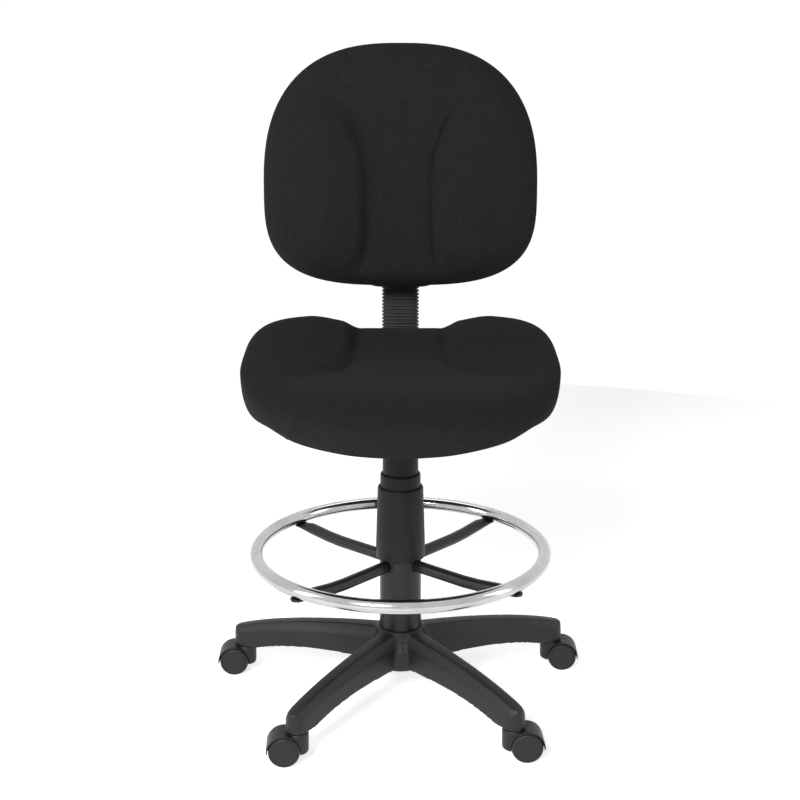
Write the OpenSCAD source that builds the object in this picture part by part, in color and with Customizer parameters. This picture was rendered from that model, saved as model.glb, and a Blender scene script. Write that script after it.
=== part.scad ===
// Drafting chair: a five-arm caster base, a turning footring, telescoping column covers, a
// gas column, a tilt-free seat mechanism and a backrest that slides on a flat bar.
// The origin is on the floor under the column. Z is up and the chair faces -Y.
// Lengths are in millimetres and angles in degrees.

/* [Casters] */
// Radius of each wheel
wheel_r = 25; // [20:0.5:32]
// Width of each wheel
wheel_w = 14.5; // [8:0.5:20]
// Gap between a wheel and the middle of its caster
wheel_gap = 8; // [6:0.5:12]
// Distance from the stem to the wheel axle
caster_trail = 21; // [12:0.5:30]
// Radius of the axle
axle_r = 3; // [2:0.1:5]
// Outer radius of the hood over the wheels
hood_r = 28.5; // [26:0.5:36]
// Radius of the upright boss that holds the stem
boss_r = 18; // [12:0.5:22]
// Height of the top of the boss
boss_top = 53.5; // [50:0.5:80]
// Radius of the caster stem
stem_r = 5.5; // [4:0.5:6]

/* [Star base] */
// Height of the column's own zero above the floor
column_z = -20; // [-30:0.5:0]
// Radius of the circle the stems stand on
stem_circle_r = 288; // [240:1:330]
// Angle of the arm that points backwards, measured from +X
first_arm_angle = 92; // [0:1:180]
// Height of the underside of the arm tips, from the column's zero
arm_tip_bottom = 74; // [66:1:80]
// Half width of an arm at its tip
arm_tip_half_w = 18; // [14:1:26]
// Half width of an arm beside the hub
arm_root_half_w = 25; // [20:1:40]
// Wall thickness of the arms
arm_wall = 4.5; // [3:0.5:8]
// Outer radius of the hub
hub_r = 50; // [40:1:60]
// Radius of the seat for the footring sleeve on the hub
hub_top_r = 38; // [34:1:46]
// Height of the bottom of the hub
hub_bottom = 80; // [70:1:90]
// Height of the top of the hub
hub_top = 146.5; // [120:0.5:170]

/* [Gas column] */
// Outer radius of the fixed column tube
column_r = 25; // [22:0.5:30]
// Inner radius of the fixed column tube
column_inner_r = 23; // [20:0.5:28]
// Height of the top of the fixed column tube
column_top = 360; // [300:1:420]
// Radius of the moving cylinder
cylinder_r = 14; // [12:0.5:16]
// Inner radius of the moving cylinder
cylinder_inner_r = 12; // [9:0.5:14]
// Height of the bottom of the moving cylinder
cylinder_bottom = 100; // [90:1:140]
// Height of the top of the moving cylinder
cylinder_top = 500; // [440:1:560]
// Radius of the fixed piston rod
rod_r = 5; // [4:0.5:6]

/* [Column covers] */
// Outer radius of the lower cover at its foot
cover_low_r = 41.2; // [38:0.1:46]
// Outer radius of the lower cover at its rim
cover_low_rim_r = 38; // [36:0.1:44]
// Height of the rim of the lower cover
cover_low_top = 396; // [360:1:420]
// Outer radius of the middle cover
cover_mid_r = 33.9; // [30:0.1:36]
// Height of the rim of the middle cover
cover_mid_top = 419; // [400:1:440]
// Outer radius of the upper cover
cover_up_r = 30; // [28:0.1:32]
// Height of the bottom of the upper cover
cover_up_bottom = 330; // [300:1:360]

/* [Footring] */
// Radius of the centreline of the footring
ring_r = 243; // [200:1:260]
// Radius of the footring tube
ring_tube_r = 11; // [8:0.5:14]
// Height of the centreline of the footring
ring_z = 282.7; // [240:0.1:340]
// Outer radius of the sleeve on the column
sleeve_r = 35; // [32:0.5:40]
// Radius of each spoke
spoke_r = 10; // [7:0.5:12]
// Angle of the first spoke from +X
spoke_angle = 48.5; // [0:0.5:90]

/* [Seat] */
// Half of the seat's width
seat_half_w = 263; // [220:1:290]
// Distance from the seat's widest line to its front edge
seat_front = 304; // [260:1:330]
// Distance from the seat's widest line to its rear edge
seat_rear = 168; // [140:1:200]
// Position of the widest line of the seat along Y
seat_y = 54; // [-20:1:80]
// Height of the lowest edge of the seat, at its front
seat_rim = 518; // [480:1:560]
// Height of the top of the seat's rear lobes
seat_crest = 654; // [600:1:680]
// Height of the top of the seat board
board_top = 553; // [540:1:570]
// Thickness of the seat board
board_t = 12; // [9:1:18]

/* [Seat mechanism] */
// Half width of the mechanism housing
housing_half_w = 48; // [40:1:60]
// Height of the bottom of the mechanism housing
housing_bottom = 479; // [470:1:490]
// Height of the lever's pivot
lever_z = 509.5; // [500:0.5:515]
// Distance from the column to the lever's pivot
lever_pivot_x = 38; // [30:1:42]
// Radius of the lever rod
lever_r = 4; // [3:0.5:5]

/* [Backrest] */
// Width of the flat bar that carries the backrest
bar_w = 60; // [40:1:70]
// Thickness of the flat bar
bar_t = 6; // [5:0.5:8]
// Height of the underside of the bar below the seat
bar_z = 511; // [505:1:520]
// Position of the upright part of the bar along Y
bar_y = 262; // [240:1:290]
// Height of the top of the bar
bar_top = 850; // [780:1:900]
// Half of the backrest's width
back_half_w = 238; // [200:1:260]
// Height of the widest line of the backrest
back_z = 865.6; // [820:0.1:900]
// Distance from the widest line to the top edge
back_up = 249; // [200:1:280]
// Distance from the widest line to the bottom edge
back_down = 165.4; // [140:0.1:200]
// Position of the rim of the backrest along Y
back_y = 225; // [200:1:250]
// Backward lean of the backrest
back_lean = 5; // [0:0.5:12]
// Thickness of the backrest cushion
back_cushion_t = 66; // [40:1:90]

/* [Hidden] */
$fn = 72;
spin_gap = 0.05;
stem_top = 104;
axle_z = wheel_r;
spoke_z = ring_z - ring_tube_r - spoke_r;
spoke_end = ring_r + 8;
plate_t = 4;
sleeve_top = 284;
shell_z = 524;
board_bottom = board_top - board_t;

function side(v) = v < 0 ? -1 : 1;
function oval_point(t, half_w, up, down, n) =
    [half_w * side(cos(t)) * pow(abs(cos(t)), 2 / n),
     (sin(t) < 0 ? down : up) * side(sin(t)) * pow(abs(sin(t)), 2 / n)];
function oval(half_w, up, down, n_up, n_down) =
    [for (i = [0 : 71]) oval_point(i * 5, half_w, up, down, i < 36 ? n_up : n_down)];

// Directions the five casters trail in, so that the wheels stand as they were left.
trail_angle = [90, 182, 183, 2, -2];
function arm_angle(i) = first_arm_angle + 72 * (i - 1);

// Puts its children at the height that the casters hold the base and column at.
module on_column() {
    translate([0, 0, column_z])
        children();
}

module at_stem(i) {
    rotate([0, 0, arm_angle(i)])
        translate([stem_circle_r, 0, 0])
            rotate([0, 0, trail_angle[i - 1] - arm_angle(i)])
                children();
}

module tube(r_out, r_in, z0, z1) {
    difference() {
        translate([0, 0, z0]) cylinder(r = r_out, h = z1 - z0);
        translate([0, 0, z0 - 1]) cylinder(r = r_in, h = z1 - z0 + 2);
    }
}

// Side profile of an arm, from the column axis outwards.
module arm_outer_side() {
    polygon([
        [20, 84], [90, 85], [150, 89], [210, 85], [255, 76.5], [262, arm_tip_bottom],
        [310, arm_tip_bottom], [310, 92], [306, 103], [296, 110], [270, 117], [220, 127],
        [165, 134], [100, 140], [20, 144]
    ]);
}

module arm_cavity_side() {
    polygon([
        [50, 66], [258, 66], [258, 114], [220, 122], [165, 129], [100, 135], [50, 138]
    ]);
}

module arm_plan(inset) {
    union() {
        polygon([
            [10, arm_root_half_w + 2 - inset], [60, arm_root_half_w - 2 - inset],
            [120, 21.8 - inset], [200, 19.8 - inset], [stem_circle_r, arm_tip_half_w - inset],
            [stem_circle_r, inset - arm_tip_half_w], [200, inset - 19.8], [120, inset - 21.8],
            [60, inset + 2 - arm_root_half_w], [10, inset - 2 - arm_root_half_w]
        ]);
        translate([stem_circle_r, 0]) circle(r = arm_tip_half_w - inset);
    }
}

// Cross-section of an arm with its two chamfers, tilted to follow the falling top.
module arm_section() {
    translate([0, 0, 146])
        rotate([0, 6.5, 0])
            rotate([90, 0, 90])
                linear_extrude(height = 340)
                    polygon([
                        [-60, -110], [60, -110], [60, -50], [11, 0], [-11, 0], [-60, -50]
                    ]);
}

module star_arm() {
    difference() {
        intersection() {
            rotate([90, 0, 0])
                translate([0, 0, -50])
                    linear_extrude(height = 100)
                        arm_outer_side();
            linear_extrude(height = 160)
                arm_plan(0);
            arm_section();
        }
        difference() {
            intersection() {
                rotate([90, 0, 0])
                    translate([0, 0, -50])
                        linear_extrude(height = 100)
                            arm_cavity_side();
                linear_extrude(height = 160)
                    arm_plan(arm_wall);
                translate([0, 0, -arm_wall - 1])
                    arm_section();
            }
            for (x = [100, 150, 200])
                translate([x, -40, 60])
                    cube([3, 80, 90]);
        }
    }
}

module star_base() {
    color([0.1, 0.1, 0.105]) on_column()
        difference() {
            union() {
                for (i = [1 : 5])
                    rotate([0, 0, arm_angle(i)])
                        star_arm();
                translate([0, 0, hub_bottom])
                    cylinder(r = hub_r, h = 56);
                translate([0, 0, hub_bottom + 56])
                    cylinder(r1 = hub_r, r2 = hub_top_r, h = hub_top - hub_bottom - 56);
            }
            translate([0, 0, hub_bottom - 20])
                cylinder(r = column_r + spin_gap, h = 120);
            for (i = [1 : 5])
                rotate([0, 0, arm_angle(i)])
                    translate([stem_circle_r, 0, arm_tip_bottom - 5])
                        cylinder(r = stem_r + spin_gap, h = stem_top - arm_tip_bottom + 5.5);
        }
}

module caster_stems() {
    color([0.75, 0.75, 0.76])
        for (i = [1 : 5])
            at_stem(i)
                translate([0, 0, 34])
                    cylinder(r = stem_r, h = stem_top + column_z - 34);
}

module gas_tube() {
    color([0.08, 0.08, 0.08]) on_column()
        difference() {
            union() {
                tube(column_r, column_inner_r, 75, column_top);
                translate([0, 0, 77])
                    cylinder(r = column_inner_r + 0.5, h = 4);
            }
            translate([0, 0, 70])
                cylinder(r = rod_r + spin_gap, h = 20);
        }
}

module guide_bush() {
    color([0.85, 0.85, 0.82]) on_column()
        tube(column_inner_r, cylinder_r + spin_gap, 245, column_top);
}

module tube_clip() {
    color([0.7, 0.7, 0.7]) on_column()
        tube(9, rod_r, 74.9, 76.9);
}

// One caster hood around its stem at the origin, trailing along +X.
module caster_hood_body() {
    color([0.09, 0.09, 0.095])
        difference() {
            union() {
                translate([0, 0, 30])
                    cylinder(r1 = boss_r - 4, r2 = boss_r, h = 4);
                translate([0, 0, 34])
                    cylinder(r = boss_r, h = boss_top - 34);
                intersection() {
                    translate([caster_trail, 23, axle_z])
                        rotate([90, 0, 0])
                            cylinder(r = hood_r, h = 46);
                    translate([-12, -25, 22])
                        cube([70, 50, 40]);
                }
                intersection() {
                    translate([caster_trail, 5, axle_z])
                        rotate([90, 0, 0])
                            cylinder(r = 19, h = 10);
                    translate([-12, -25, 8])
                        cube([70, 50, 40]);
                }
            }
            for (s = [-1, 1])
                translate([caster_trail, s * 5.5, axle_z])
                    rotate([s < 0 ? 90 : -90, 0, 0])
                        cylinder(r = wheel_r + 1, h = 30);
            translate([0, 0, 33.9])
                cylinder(r = stem_r + spin_gap, h = 40);
            translate([caster_trail, 20, axle_z])
                rotate([90, 0, 0])
                    cylinder(r = axle_r + 0.02, h = 40);
        }
}

module caster_hood(i) {
    at_stem(i)
        caster_hood_body();
}

module caster_axle(i) {
    color([0.7, 0.7, 0.72])
        at_stem(i)
            translate([caster_trail, 20, axle_z])
                rotate([90, 0, 0])
                    cylinder(r = axle_r, h = 40);
}

// Wheel profile turned about its axle: flat tread, domed outer face and a blind bore.
module wheel_body(s) {
    color([0.12, 0.12, 0.125])
        translate([caster_trail, s * wheel_gap, axle_z])
            rotate([s < 0 ? 90 : -90, 0, 0])
                difference() {
                    rotate_extrude()
                        polygon([
                            [0, 0], [wheel_r - 1.5, 0], [wheel_r, 1.5], [wheel_r, wheel_w - 3.5],
                            [wheel_r - 1, wheel_w - 1.4], [wheel_r - 3, wheel_w - 0.3],
                            [wheel_r - 6, wheel_w], [0, wheel_w]
                        ]);
                    translate([0, 0, -1])
                        cylinder(r = axle_r + spin_gap, h = 13.3);
                }
}

module wheel(i, s) {
    at_stem(i)
        wheel_body(s);
}

module at_spokes() {
    for (k = [0 : 3])
        rotate([0, 0, spoke_angle + 90 * k])
            children();
}

module ring_sleeve() {
    color([0.09, 0.09, 0.09]) on_column()
        difference() {
            union() {
                translate([0, 0, hub_top + 0.2])
                    cylinder(r1 = sleeve_r + 0.8, r2 = sleeve_r, h = 40);
                translate([0, 0, hub_top + 40])
                    cylinder(r = sleeve_r, h = sleeve_top - hub_top - 40);
            }
            translate([0, 0, hub_top - 1])
                cylinder(r = sleeve_r - 2, h = 200);
            at_spokes()
                translate([20, 0, spoke_z])
                    rotate([0, 90, 0])
                        cylinder(r = spoke_r, h = 40);
        }
}

module sleeve_bushes() {
    color([0.8, 0.8, 0.78]) on_column() {
        tube(sleeve_r - 2, column_r + spin_gap, hub_top + 0.5, hub_top + 22);
        tube(sleeve_r - 2, column_r + spin_gap, sleeve_top - 10, sleeve_top);
    }
}

module footring() {
    color([0.85, 0.85, 0.87]) on_column()
        difference() {
            translate([0, 0, ring_z])
                rotate_extrude()
                    translate([ring_r, 0])
                        difference() {
                            circle(r = ring_tube_r);
                            circle(r = ring_tube_r - 1.6);
                        }
            at_spokes()
                translate([ring_r, 0, ring_z - 20])
                    cylinder(r = 3, h = 20);
        }
}

// Four spoke tubes flattened at their outer ends, where the ring is bolted on.
module footring_spokes() {
    color([0.08, 0.08, 0.08]) on_column()
        at_spokes()
            difference() {
                union() {
                    translate([sleeve_r - 2, 0, spoke_z])
                        rotate([0, 90, 0])
                            cylinder(r = spoke_r, h = 190 - sleeve_r);
                    intersection() {
                        translate([185, 0, spoke_z])
                            rotate([0, 90, 0])
                                cylinder(r = spoke_r, h = 45);
                        rotate([90, 0, 0])
                            translate([0, 0, -20])
                                linear_extrude(height = 40)
                                    polygon([
                                        [185, spoke_z - spoke_r], [192, spoke_z - spoke_r],
                                        [226, spoke_z + spoke_r - plate_t],
                                        [230, spoke_z + spoke_r - plate_t],
                                        [230, spoke_z + spoke_r], [185, spoke_z + spoke_r]
                                    ]);
                    }
                    translate([205, -11, spoke_z + spoke_r - plate_t])
                        cube([ring_r - 205, 22, plate_t]);
                    translate([ring_r, 0, spoke_z + spoke_r - plate_t])
                        cylinder(r = 11, h = plate_t);
                }
                translate([sleeve_r - 3, 0, spoke_z])
                    rotate([0, 90, 0])
                        cylinder(r = spoke_r - 1.5, h = 150);
                translate([ring_r, 0, spoke_z])
                    cylinder(r = 3.03, h = 20);
            }
}

module ring_screws() {
    color([0.15, 0.15, 0.15]) on_column()
        at_spokes()
            translate([ring_r, 0, spoke_z + spoke_r - plate_t]) {
                translate([0, 0, -4])
                    cylinder(r = 6, h = 4);
                cylinder(r = 3, h = 14);
            }
}

module cover_lower() {
    color([0.1, 0.1, 0.1]) on_column()
        difference() {
            union() {
                translate([0, 0, spoke_z + spoke_r + 0.1])
                    cylinder(r1 = cover_low_r, r2 = cover_low_rim_r, h = 110);
                translate([0, 0, spoke_z + spoke_r + 110])
                    cylinder(r = cover_low_rim_r, h = cover_low_top - spoke_z - spoke_r - 110);
            }
            translate([0, 0, spoke_z])
                cylinder(r = cover_low_rim_r - 2.4, h = 200);
        }
}

module cover_middle() {
    color([0.1, 0.1, 0.1]) on_column()
        tube(cover_mid_r, cover_mid_r - 2, sleeve_top + 2, cover_mid_top);
}

module piston_rod() {
    color([0.8, 0.8, 0.82]) on_column()
        union() {
            translate([0, 0, 72])
                cylinder(r = rod_r, h = 182);
            translate([0, 0, 88])
                cylinder(r = 9, h = 4);
        }
}

module piston_head() {
    color([0.3, 0.3, 0.3]) on_column()
        tube(cylinder_inner_r - spin_gap, rod_r, 240, 254);
}

module thrust_bearing() {
    color([0.6, 0.6, 0.62]) on_column()
        tube(13, rod_r, 81.2, 88);
}

module gas_cylinder() {
    color([0.12, 0.12, 0.12]) on_column()
        difference() {
            translate([0, 0, cylinder_bottom])
                cylinder(r = cylinder_r, h = cylinder_top - cylinder_bottom);
            translate([0, 0, cylinder_bottom + 10])
                cylinder(r = cylinder_inner_r, h = cylinder_top - cylinder_bottom - 22);
            translate([0, 0, cylinder_bottom - 1])
                cylinder(r = rod_r + spin_gap, h = 20);
            translate([0, 0, cylinder_top - 13])
                cylinder(r = 4.05, h = 20);
        }
}

module cover_upper() {
    color([0.1, 0.1, 0.1]) on_column()
        difference() {
            translate([0, 0, cover_up_bottom])
                cylinder(r1 = cover_up_r, r2 = cover_up_r - 0.8, h = housing_bottom - cover_up_bottom);
            translate([0, 0, cover_up_bottom - 1])
                cylinder(r = cover_up_r - 2.8, h = housing_bottom - cover_up_bottom - 2);
            translate([0, 0, cover_up_bottom])
                cylinder(r = cylinder_r + 0.02, h = 200);
        }
}

// Folded steel housing: a taper socket in front, a channel for the bar behind.
module mechanism_housing() {
    color([0.1, 0.1, 0.1]) on_column()
        difference() {
            union() {
                difference() {
                    translate([-housing_half_w, -70, housing_bottom])
                        cube([2 * housing_half_w, 215, board_bottom - housing_bottom]);
                    translate([3 - housing_half_w, -67, housing_bottom + 3])
                        cube([2 * housing_half_w - 6, 209, board_bottom - housing_bottom - 7]);
                }
                translate([-90, -95, board_bottom - 4])
                    cube([180, 250, 4]);
                translate([0, 0, housing_bottom])
                    cylinder(r = 20, h = 17);
                translate([-38, 62, housing_bottom + 1])
                    cube([76, 76, bar_z - housing_bottom - 1]);
            }
            translate([0, 0, housing_bottom - 1])
                cylinder(r = cylinder_r + 0.02, h = 40);
            for (x = [-35, 10])
                translate([x, 65, housing_bottom + 3])
                    cube([25, 70, bar_z - housing_bottom - 6]);
            translate([-housing_half_w - 1, -8, lever_z - 7])
                cube([5, 16, 14]);
            translate([-bar_w / 2 - 0.1, 60, bar_z - 0.1])
                cube([bar_w + 0.2, 100, bar_t + 0.2]);
            translate([0, 100, housing_bottom - 1])
                cylinder(r = 4 + spin_gap, h = 60);
            for (x = [-75, 75])
                for (y = [-80, 140])
                    translate([x, y, board_bottom - 6])
                        cylinder(r = 3, h = 10);
        }
}

module housing_bolts() {
    color([0.7, 0.7, 0.7]) on_column()
        for (x = [-75, 75])
            for (y = [-80, 140])
                translate([x, y, board_bottom - 4]) {
                    translate([0, 0, -4.5])
                        cylinder(r = 6, h = 4.5);
                    cylinder(r = 3, h = 14);
                }
}

module lever_pin() {
    color([0.7, 0.7, 0.7]) on_column()
        translate([-lever_pivot_x, 62, lever_z])
            rotate([90, 0, 0])
                cylinder(r = 2, h = 129);
}

module seat_outline(scale_by) {
    translate([0, seat_y])
        polygon(oval(seat_half_w * scale_by, seat_rear * scale_by, seat_front * scale_by, 3.33, 2.58));
}

module seat_board() {
    color([0.7, 0.52, 0.33]) on_column()
        difference() {
            translate([0, 0, board_bottom])
                linear_extrude(height = board_t)
                    seat_outline(0.885);
            for (x = [-75, 75])
                for (y = [-80, 140])
                    translate([x, y, board_bottom - 1])
                        cylinder(r = 3, h = 11.2);
        }
}

// Moulded shell under the seat, open in the middle for the mechanism.
module seat_shell() {
    color([0.09, 0.09, 0.09]) on_column()
        difference() {
            translate([0, 0, shell_z])
                linear_extrude(height = board_bottom - shell_z)
                    seat_outline(0.9);
            translate([0, 0, shell_z + 3])
                linear_extrude(height = 40)
                    seat_outline(0.887);
            translate([-96, -101, shell_z - 1])
                cube([192, 262, 10]);
        }
}

module seat_cushion() {
    color([0.04, 0.04, 0.042]) on_column()
        difference() {
            intersection() {
                translate([0, 0, seat_rim - 5])
                    linear_extrude(height = 160)
                        seat_outline(1);
                rotate([90, 0, 90])
                    translate([0, 0, -300])
                        linear_extrude(height = 600)
                            polygon([
                                [-250, 528], [-244, seat_rim], [-225, seat_rim], [-150, 526],
                                [190, 527], [212, 534], [222, 550], [222, 615], [216, 638],
                                [195, 650], [160, seat_crest - 2], [90, 640], [0, 622],
                                [-100, 606], [-180, 599], [-220, 590], [-241, 574], [-250, 552]
                            ]);
                rotate([90, 0, 0])
                    translate([0, 0, -300])
                        linear_extrude(height = 600)
                            polygon([
                                [-263, 566], [-252, 543], [-215, 527], [-120, seat_rim],
                                [120, seat_rim], [215, 527], [252, 543], [263, 566], [263, 596],
                                [257, 620], [240, 641], [200, 652], [0, seat_crest],
                                [-200, 652], [-240, 641], [-257, 620], [-263, 596]
                            ]);
            }
            translate([0, 0, 500])
                linear_extrude(height = board_top - 500)
                    seat_outline(0.902);
        }
}

module valve_button() {
    color([0.75, 0.2, 0.15]) on_column()
        translate([0, 0, cylinder_top - 7])
            cylinder(r = 4, h = 12);
}

// Lever rod: a flat inner tongue over the valve, then a rod that drops towards its paddle.
module lever_rod() {
    color([0.7, 0.7, 0.72]) on_column()
        difference() {
            union() {
                translate([-lever_pivot_x - 18, 0, lever_z])
                    rotate([0, 90, 0])
                        cylinder(r = lever_r, h = lever_pivot_x + 23);
                translate([-lever_pivot_x - 18, 0, lever_z])
                    sphere(r = lever_r + 0.6);
                translate([-lever_pivot_x - 18, 0, lever_z])
                    rotate([0, -102, 0])
                        cylinder(r = lever_r, h = 90);
            }
            translate([-lever_pivot_x, 10, lever_z])
                rotate([90, 0, 0])
                    cylinder(r = 2 + spin_gap, h = 20);
        }
}

module lever_paddle() {
    color([0.08, 0.08, 0.08]) on_column()
        translate([-lever_pivot_x - 18, 0, lever_z])
            rotate([0, -102, 0])
                difference() {
                    translate([0, 0, 62])
                        union() {
                            translate([-5, -15, 0])
                                cube([10, 30, 62]);
                            translate([-5, 0, 62])
                                rotate([0, 90, 0])
                                    cylinder(r = 15, h = 10);
                            cylinder(r = 7, h = 10);
                        }
                    translate([0, 0, 60])
                        cylinder(r = lever_r + 0.03, h = 30.1);
                }
}

module depth_knob() {
    color([0.08, 0.08, 0.08]) on_column()
        translate([0, 100, 0])
            difference() {
                union() {
                    translate([0, 0, housing_bottom - 22])
                        cylinder(r1 = 17, r2 = 19, h = 16);
                    translate([0, 0, housing_bottom - 6])
                        cylinder(r = 8, h = 5.8);
                    translate([0, 0, housing_bottom - 10])
                        cylinder(r = 4, h = bar_z - housing_bottom + 9.7);
                }
                for (a = [0 : 60 : 300])
                    rotate([0, 0, a])
                        translate([21, 0, housing_bottom - 24])
                            cylinder(r = 5, h = 20);
            }
}

// Flat steel bar: level under the seat, bent upright behind it.
module back_bar() {
    color([0.09, 0.09, 0.09]) on_column()
        translate([-bar_w / 2, 0, 0])
            rotate([90, 0, 90])
                linear_extrude(height = bar_w)
                        union() {
                            polygon([
                                [52, bar_z], [bar_y - 27, bar_z], [bar_y - 27, bar_z + bar_t],
                                [52, bar_z + bar_t]
                            ]);
                            intersection() {
                                translate([bar_y - 27, bar_z + 30])
                                    difference() {
                                        circle(r = 30);
                                        circle(r = 30 - bar_t);
                                    }
                                translate([bar_y - 27, bar_z])
                                    square([40, 30]);
                            }
                            translate([bar_y - bar_t / 2, bar_z + 30])
                                square([bar_t, bar_top - bar_z - 30]);
                        }
}

// Ribbed sleeve around the upright bar.
module bar_boot() {
    color([0.05, 0.05, 0.05]) on_column()
        difference() {
            union() {
                translate([-30.5, bar_y - 11, 546])
                    cube([61, 22, 160]);
                for (z = [548 : 8 : 700])
                    translate([-32.5, bar_y - 13, z])
                        cube([65, 26, 4]);
            }
            translate([-30.2, bar_y - bar_t / 2 - 6, 540])
                cube([60.4, bar_t + 12, 180]);
        }
}

// Puts its children in the leaning frame of the backrest, X across and Y up the back.
module leaning() {
    translate([0, back_y, back_z])
        rotate([90 - back_lean, 0, 0])
            children();
}

module back_outline(scale_by) {
    polygon(oval(back_half_w * scale_by, back_up * scale_by, back_down * scale_by, 2.57, 3.2));
}

// Distance from the bracket's rear face to a point 3 mm inside the back board.
function screw_reach(z) = bar_y + 10 - back_y - 3 - (z - back_z) * tan(back_lean);

module back_bracket() {
    color([0.1, 0.1, 0.1]) on_column()
        difference() {
            translate([-40, 0, 0])
                rotate([90, 0, 90])
                    linear_extrude(height = 80)
                        polygon([
                            [bar_y + 10, 735], [bar_y + 10, 860],
                            [back_y + 10.4 + (860 - back_z) * tan(back_lean), 860],
                            [back_y + 10.4 + (735 - back_z) * tan(back_lean), 735]
                        ]);
            translate([-bar_w / 2 - 0.1, bar_y - bar_t / 2 - 0.1, 700])
                cube([bar_w + 0.2, bar_t + 0.2, 220]);
            translate([0, bar_y, 765])
                rotate([-90, 0, 0])
                    cylinder(r = 4 + spin_gap, h = 30);
            translate([-31, back_y, 741])
                cube([62, bar_y - back_y - 7, 113]);
            for (x = [-35.5, 35.5])
                for (z = [775, 840])
                    translate([x, bar_y + 20, z])
                        rotate([90, 0, 0])
                            cylinder(r = 2.5, h = 60);
        }
}

module bracket_screws() {
    color([0.7, 0.7, 0.7]) on_column()
        for (x = [-35.5, 35.5])
            for (z = [775, 840])
                translate([x, bar_y + 10, z])
                    rotate([90, 0, 0]) {
                        cylinder(r = 2.5, h = screw_reach(z));
                        translate([0, 0, -3])
                            cylinder(r = 4.5, h = 3);
                    }
}

module back_board() {
    color([0.7, 0.52, 0.33]) on_column()
        difference() {
            leaning()
                translate([0, 0, -10.2])
                    linear_extrude(height = 10)
                        back_outline(0.92);
            for (x = [-35.5, 35.5])
                for (z = [775, 840])
                    translate([x, bar_y + 10, z])
                        rotate([90, 0, 0])
                            cylinder(r = 2.5, h = screw_reach(z) + 0.1);
        }
}

// Moulded shell behind the backrest, with a hollow spine around the bracket and bar.
module back_shell() {
    color([0.09, 0.09, 0.09]) on_column()
        difference() {
            union() {
                leaning()
                    translate([0, 0, -26])
                        linear_extrude(height = 22)
                            back_outline(0.95);
                translate([-56, bar_y - 20, 697])
                    cube([112, 41, 200]);
            }
            leaning()
                translate([0, 0, -23])
                    linear_extrude(height = 40)
                        back_outline(0.93);
            translate([-53, bar_y - 40, 700])
                cube([106, 58, 194]);
            translate([-36, bar_y - 16, 650])
                cube([72, 32, 80]);
            translate([0, bar_y, 765])
                rotate([-90, 0, 0])
                    cylinder(r = 9, h = 40);
        }
}

module back_cushion() {
    color([0.04, 0.04, 0.042]) on_column()
        difference() {
            intersection() {
                leaning()
                    translate([0, 0, -8])
                        linear_extrude(height = back_cushion_t + 8)
                            back_outline(1);
                leaning()
                    rotate([90, 0, 0])
                        translate([0, 0, -300])
                            linear_extrude(height = 600)
                                polygon([
                                    [-241, -8], [241, -8], [241, 20], [226, 42], [190, 58],
                                    [120, back_cushion_t], [-120, back_cushion_t], [-190, 58],
                                    [-226, 42], [-241, 20]
                                ]);
                leaning()
                    rotate([90, 0, 90])
                        translate([0, 0, -300])
                            linear_extrude(height = 600)
                                polygon([
                                    [-172, -8], [255, -8], [255, 16], [240, 36], [200, 52],
                                    [100, back_cushion_t], [-80, back_cushion_t], [-135, 56],
                                    [-162, 36], [-172, 14]
                                ]);
            }
            leaning()
                translate([0, 0, -50])
                    linear_extrude(height = 50)
                        back_outline(0.952);
        }
}

module height_knob() {
    color([0.08, 0.08, 0.08]) on_column()
        translate([0, bar_y, 765])
            rotate([-90, 0, 0])
                difference() {
                    union() {
                        translate([0, 0, bar_t / 2 + 0.2])
                            cylinder(r = 4, h = 24);
                        translate([0, 0, 22])
                            cylinder(r = 8, h = 8);
                        translate([0, 0, 28])
                            cylinder(r1 = 19, r2 = 17, h = 16);
                    }
                    for (a = [0 : 60 : 300])
                        rotate([0, 0, a])
                            translate([21, 0, 26])
                                cylinder(r = 5, h = 30);
                }
}

star_base();
caster_stems();
gas_tube();
guide_bush();
tube_clip();
caster_hood(1);  // caster_hood_1
caster_hood(2);  // caster_hood_2
caster_hood(3);  // caster_hood_3
caster_hood(4);  // caster_hood_4
caster_hood(5);  // caster_hood_5
caster_axle(1);  // caster_axle_1
caster_axle(2);  // caster_axle_2
caster_axle(3);  // caster_axle_3
caster_axle(4);  // caster_axle_4
caster_axle(5);  // caster_axle_5
wheel(1, -1);  // wheel_right_1
wheel(2, -1);  // wheel_right_2
wheel(3, -1);  // wheel_right_3
wheel(4, -1);  // wheel_right_4
wheel(5, -1);  // wheel_right_5
wheel(1, 1);  // wheel_left_1
wheel(2, 1);  // wheel_left_2
wheel(3, 1);  // wheel_left_3
wheel(4, 1);  // wheel_left_4
wheel(5, 1);  // wheel_left_5
ring_sleeve();
sleeve_bushes();
footring();
footring_spokes();
ring_screws();
cover_lower();
cover_middle();
piston_rod();
piston_head();
thrust_bearing();
gas_cylinder();
cover_upper();
mechanism_housing();
housing_bolts();
lever_pin();
seat_board();
seat_shell();
seat_cushion();
valve_button();
lever_rod();
lever_paddle();
depth_knob();
back_bar();
bar_boot();
back_bracket();
bracket_screws();
back_board();
back_shell();
back_cushion();
height_knob();
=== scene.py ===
"""Drafting chair: a contoured seat and backrest on a gas column, over a chrome footring and a caster base.

Sizes are in metres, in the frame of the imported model: floor at Z = 0, column on the Z axis, front towards -Y.
"""

import math

import bmesh
import bpy
from mathutils import Matrix, Vector


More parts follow.
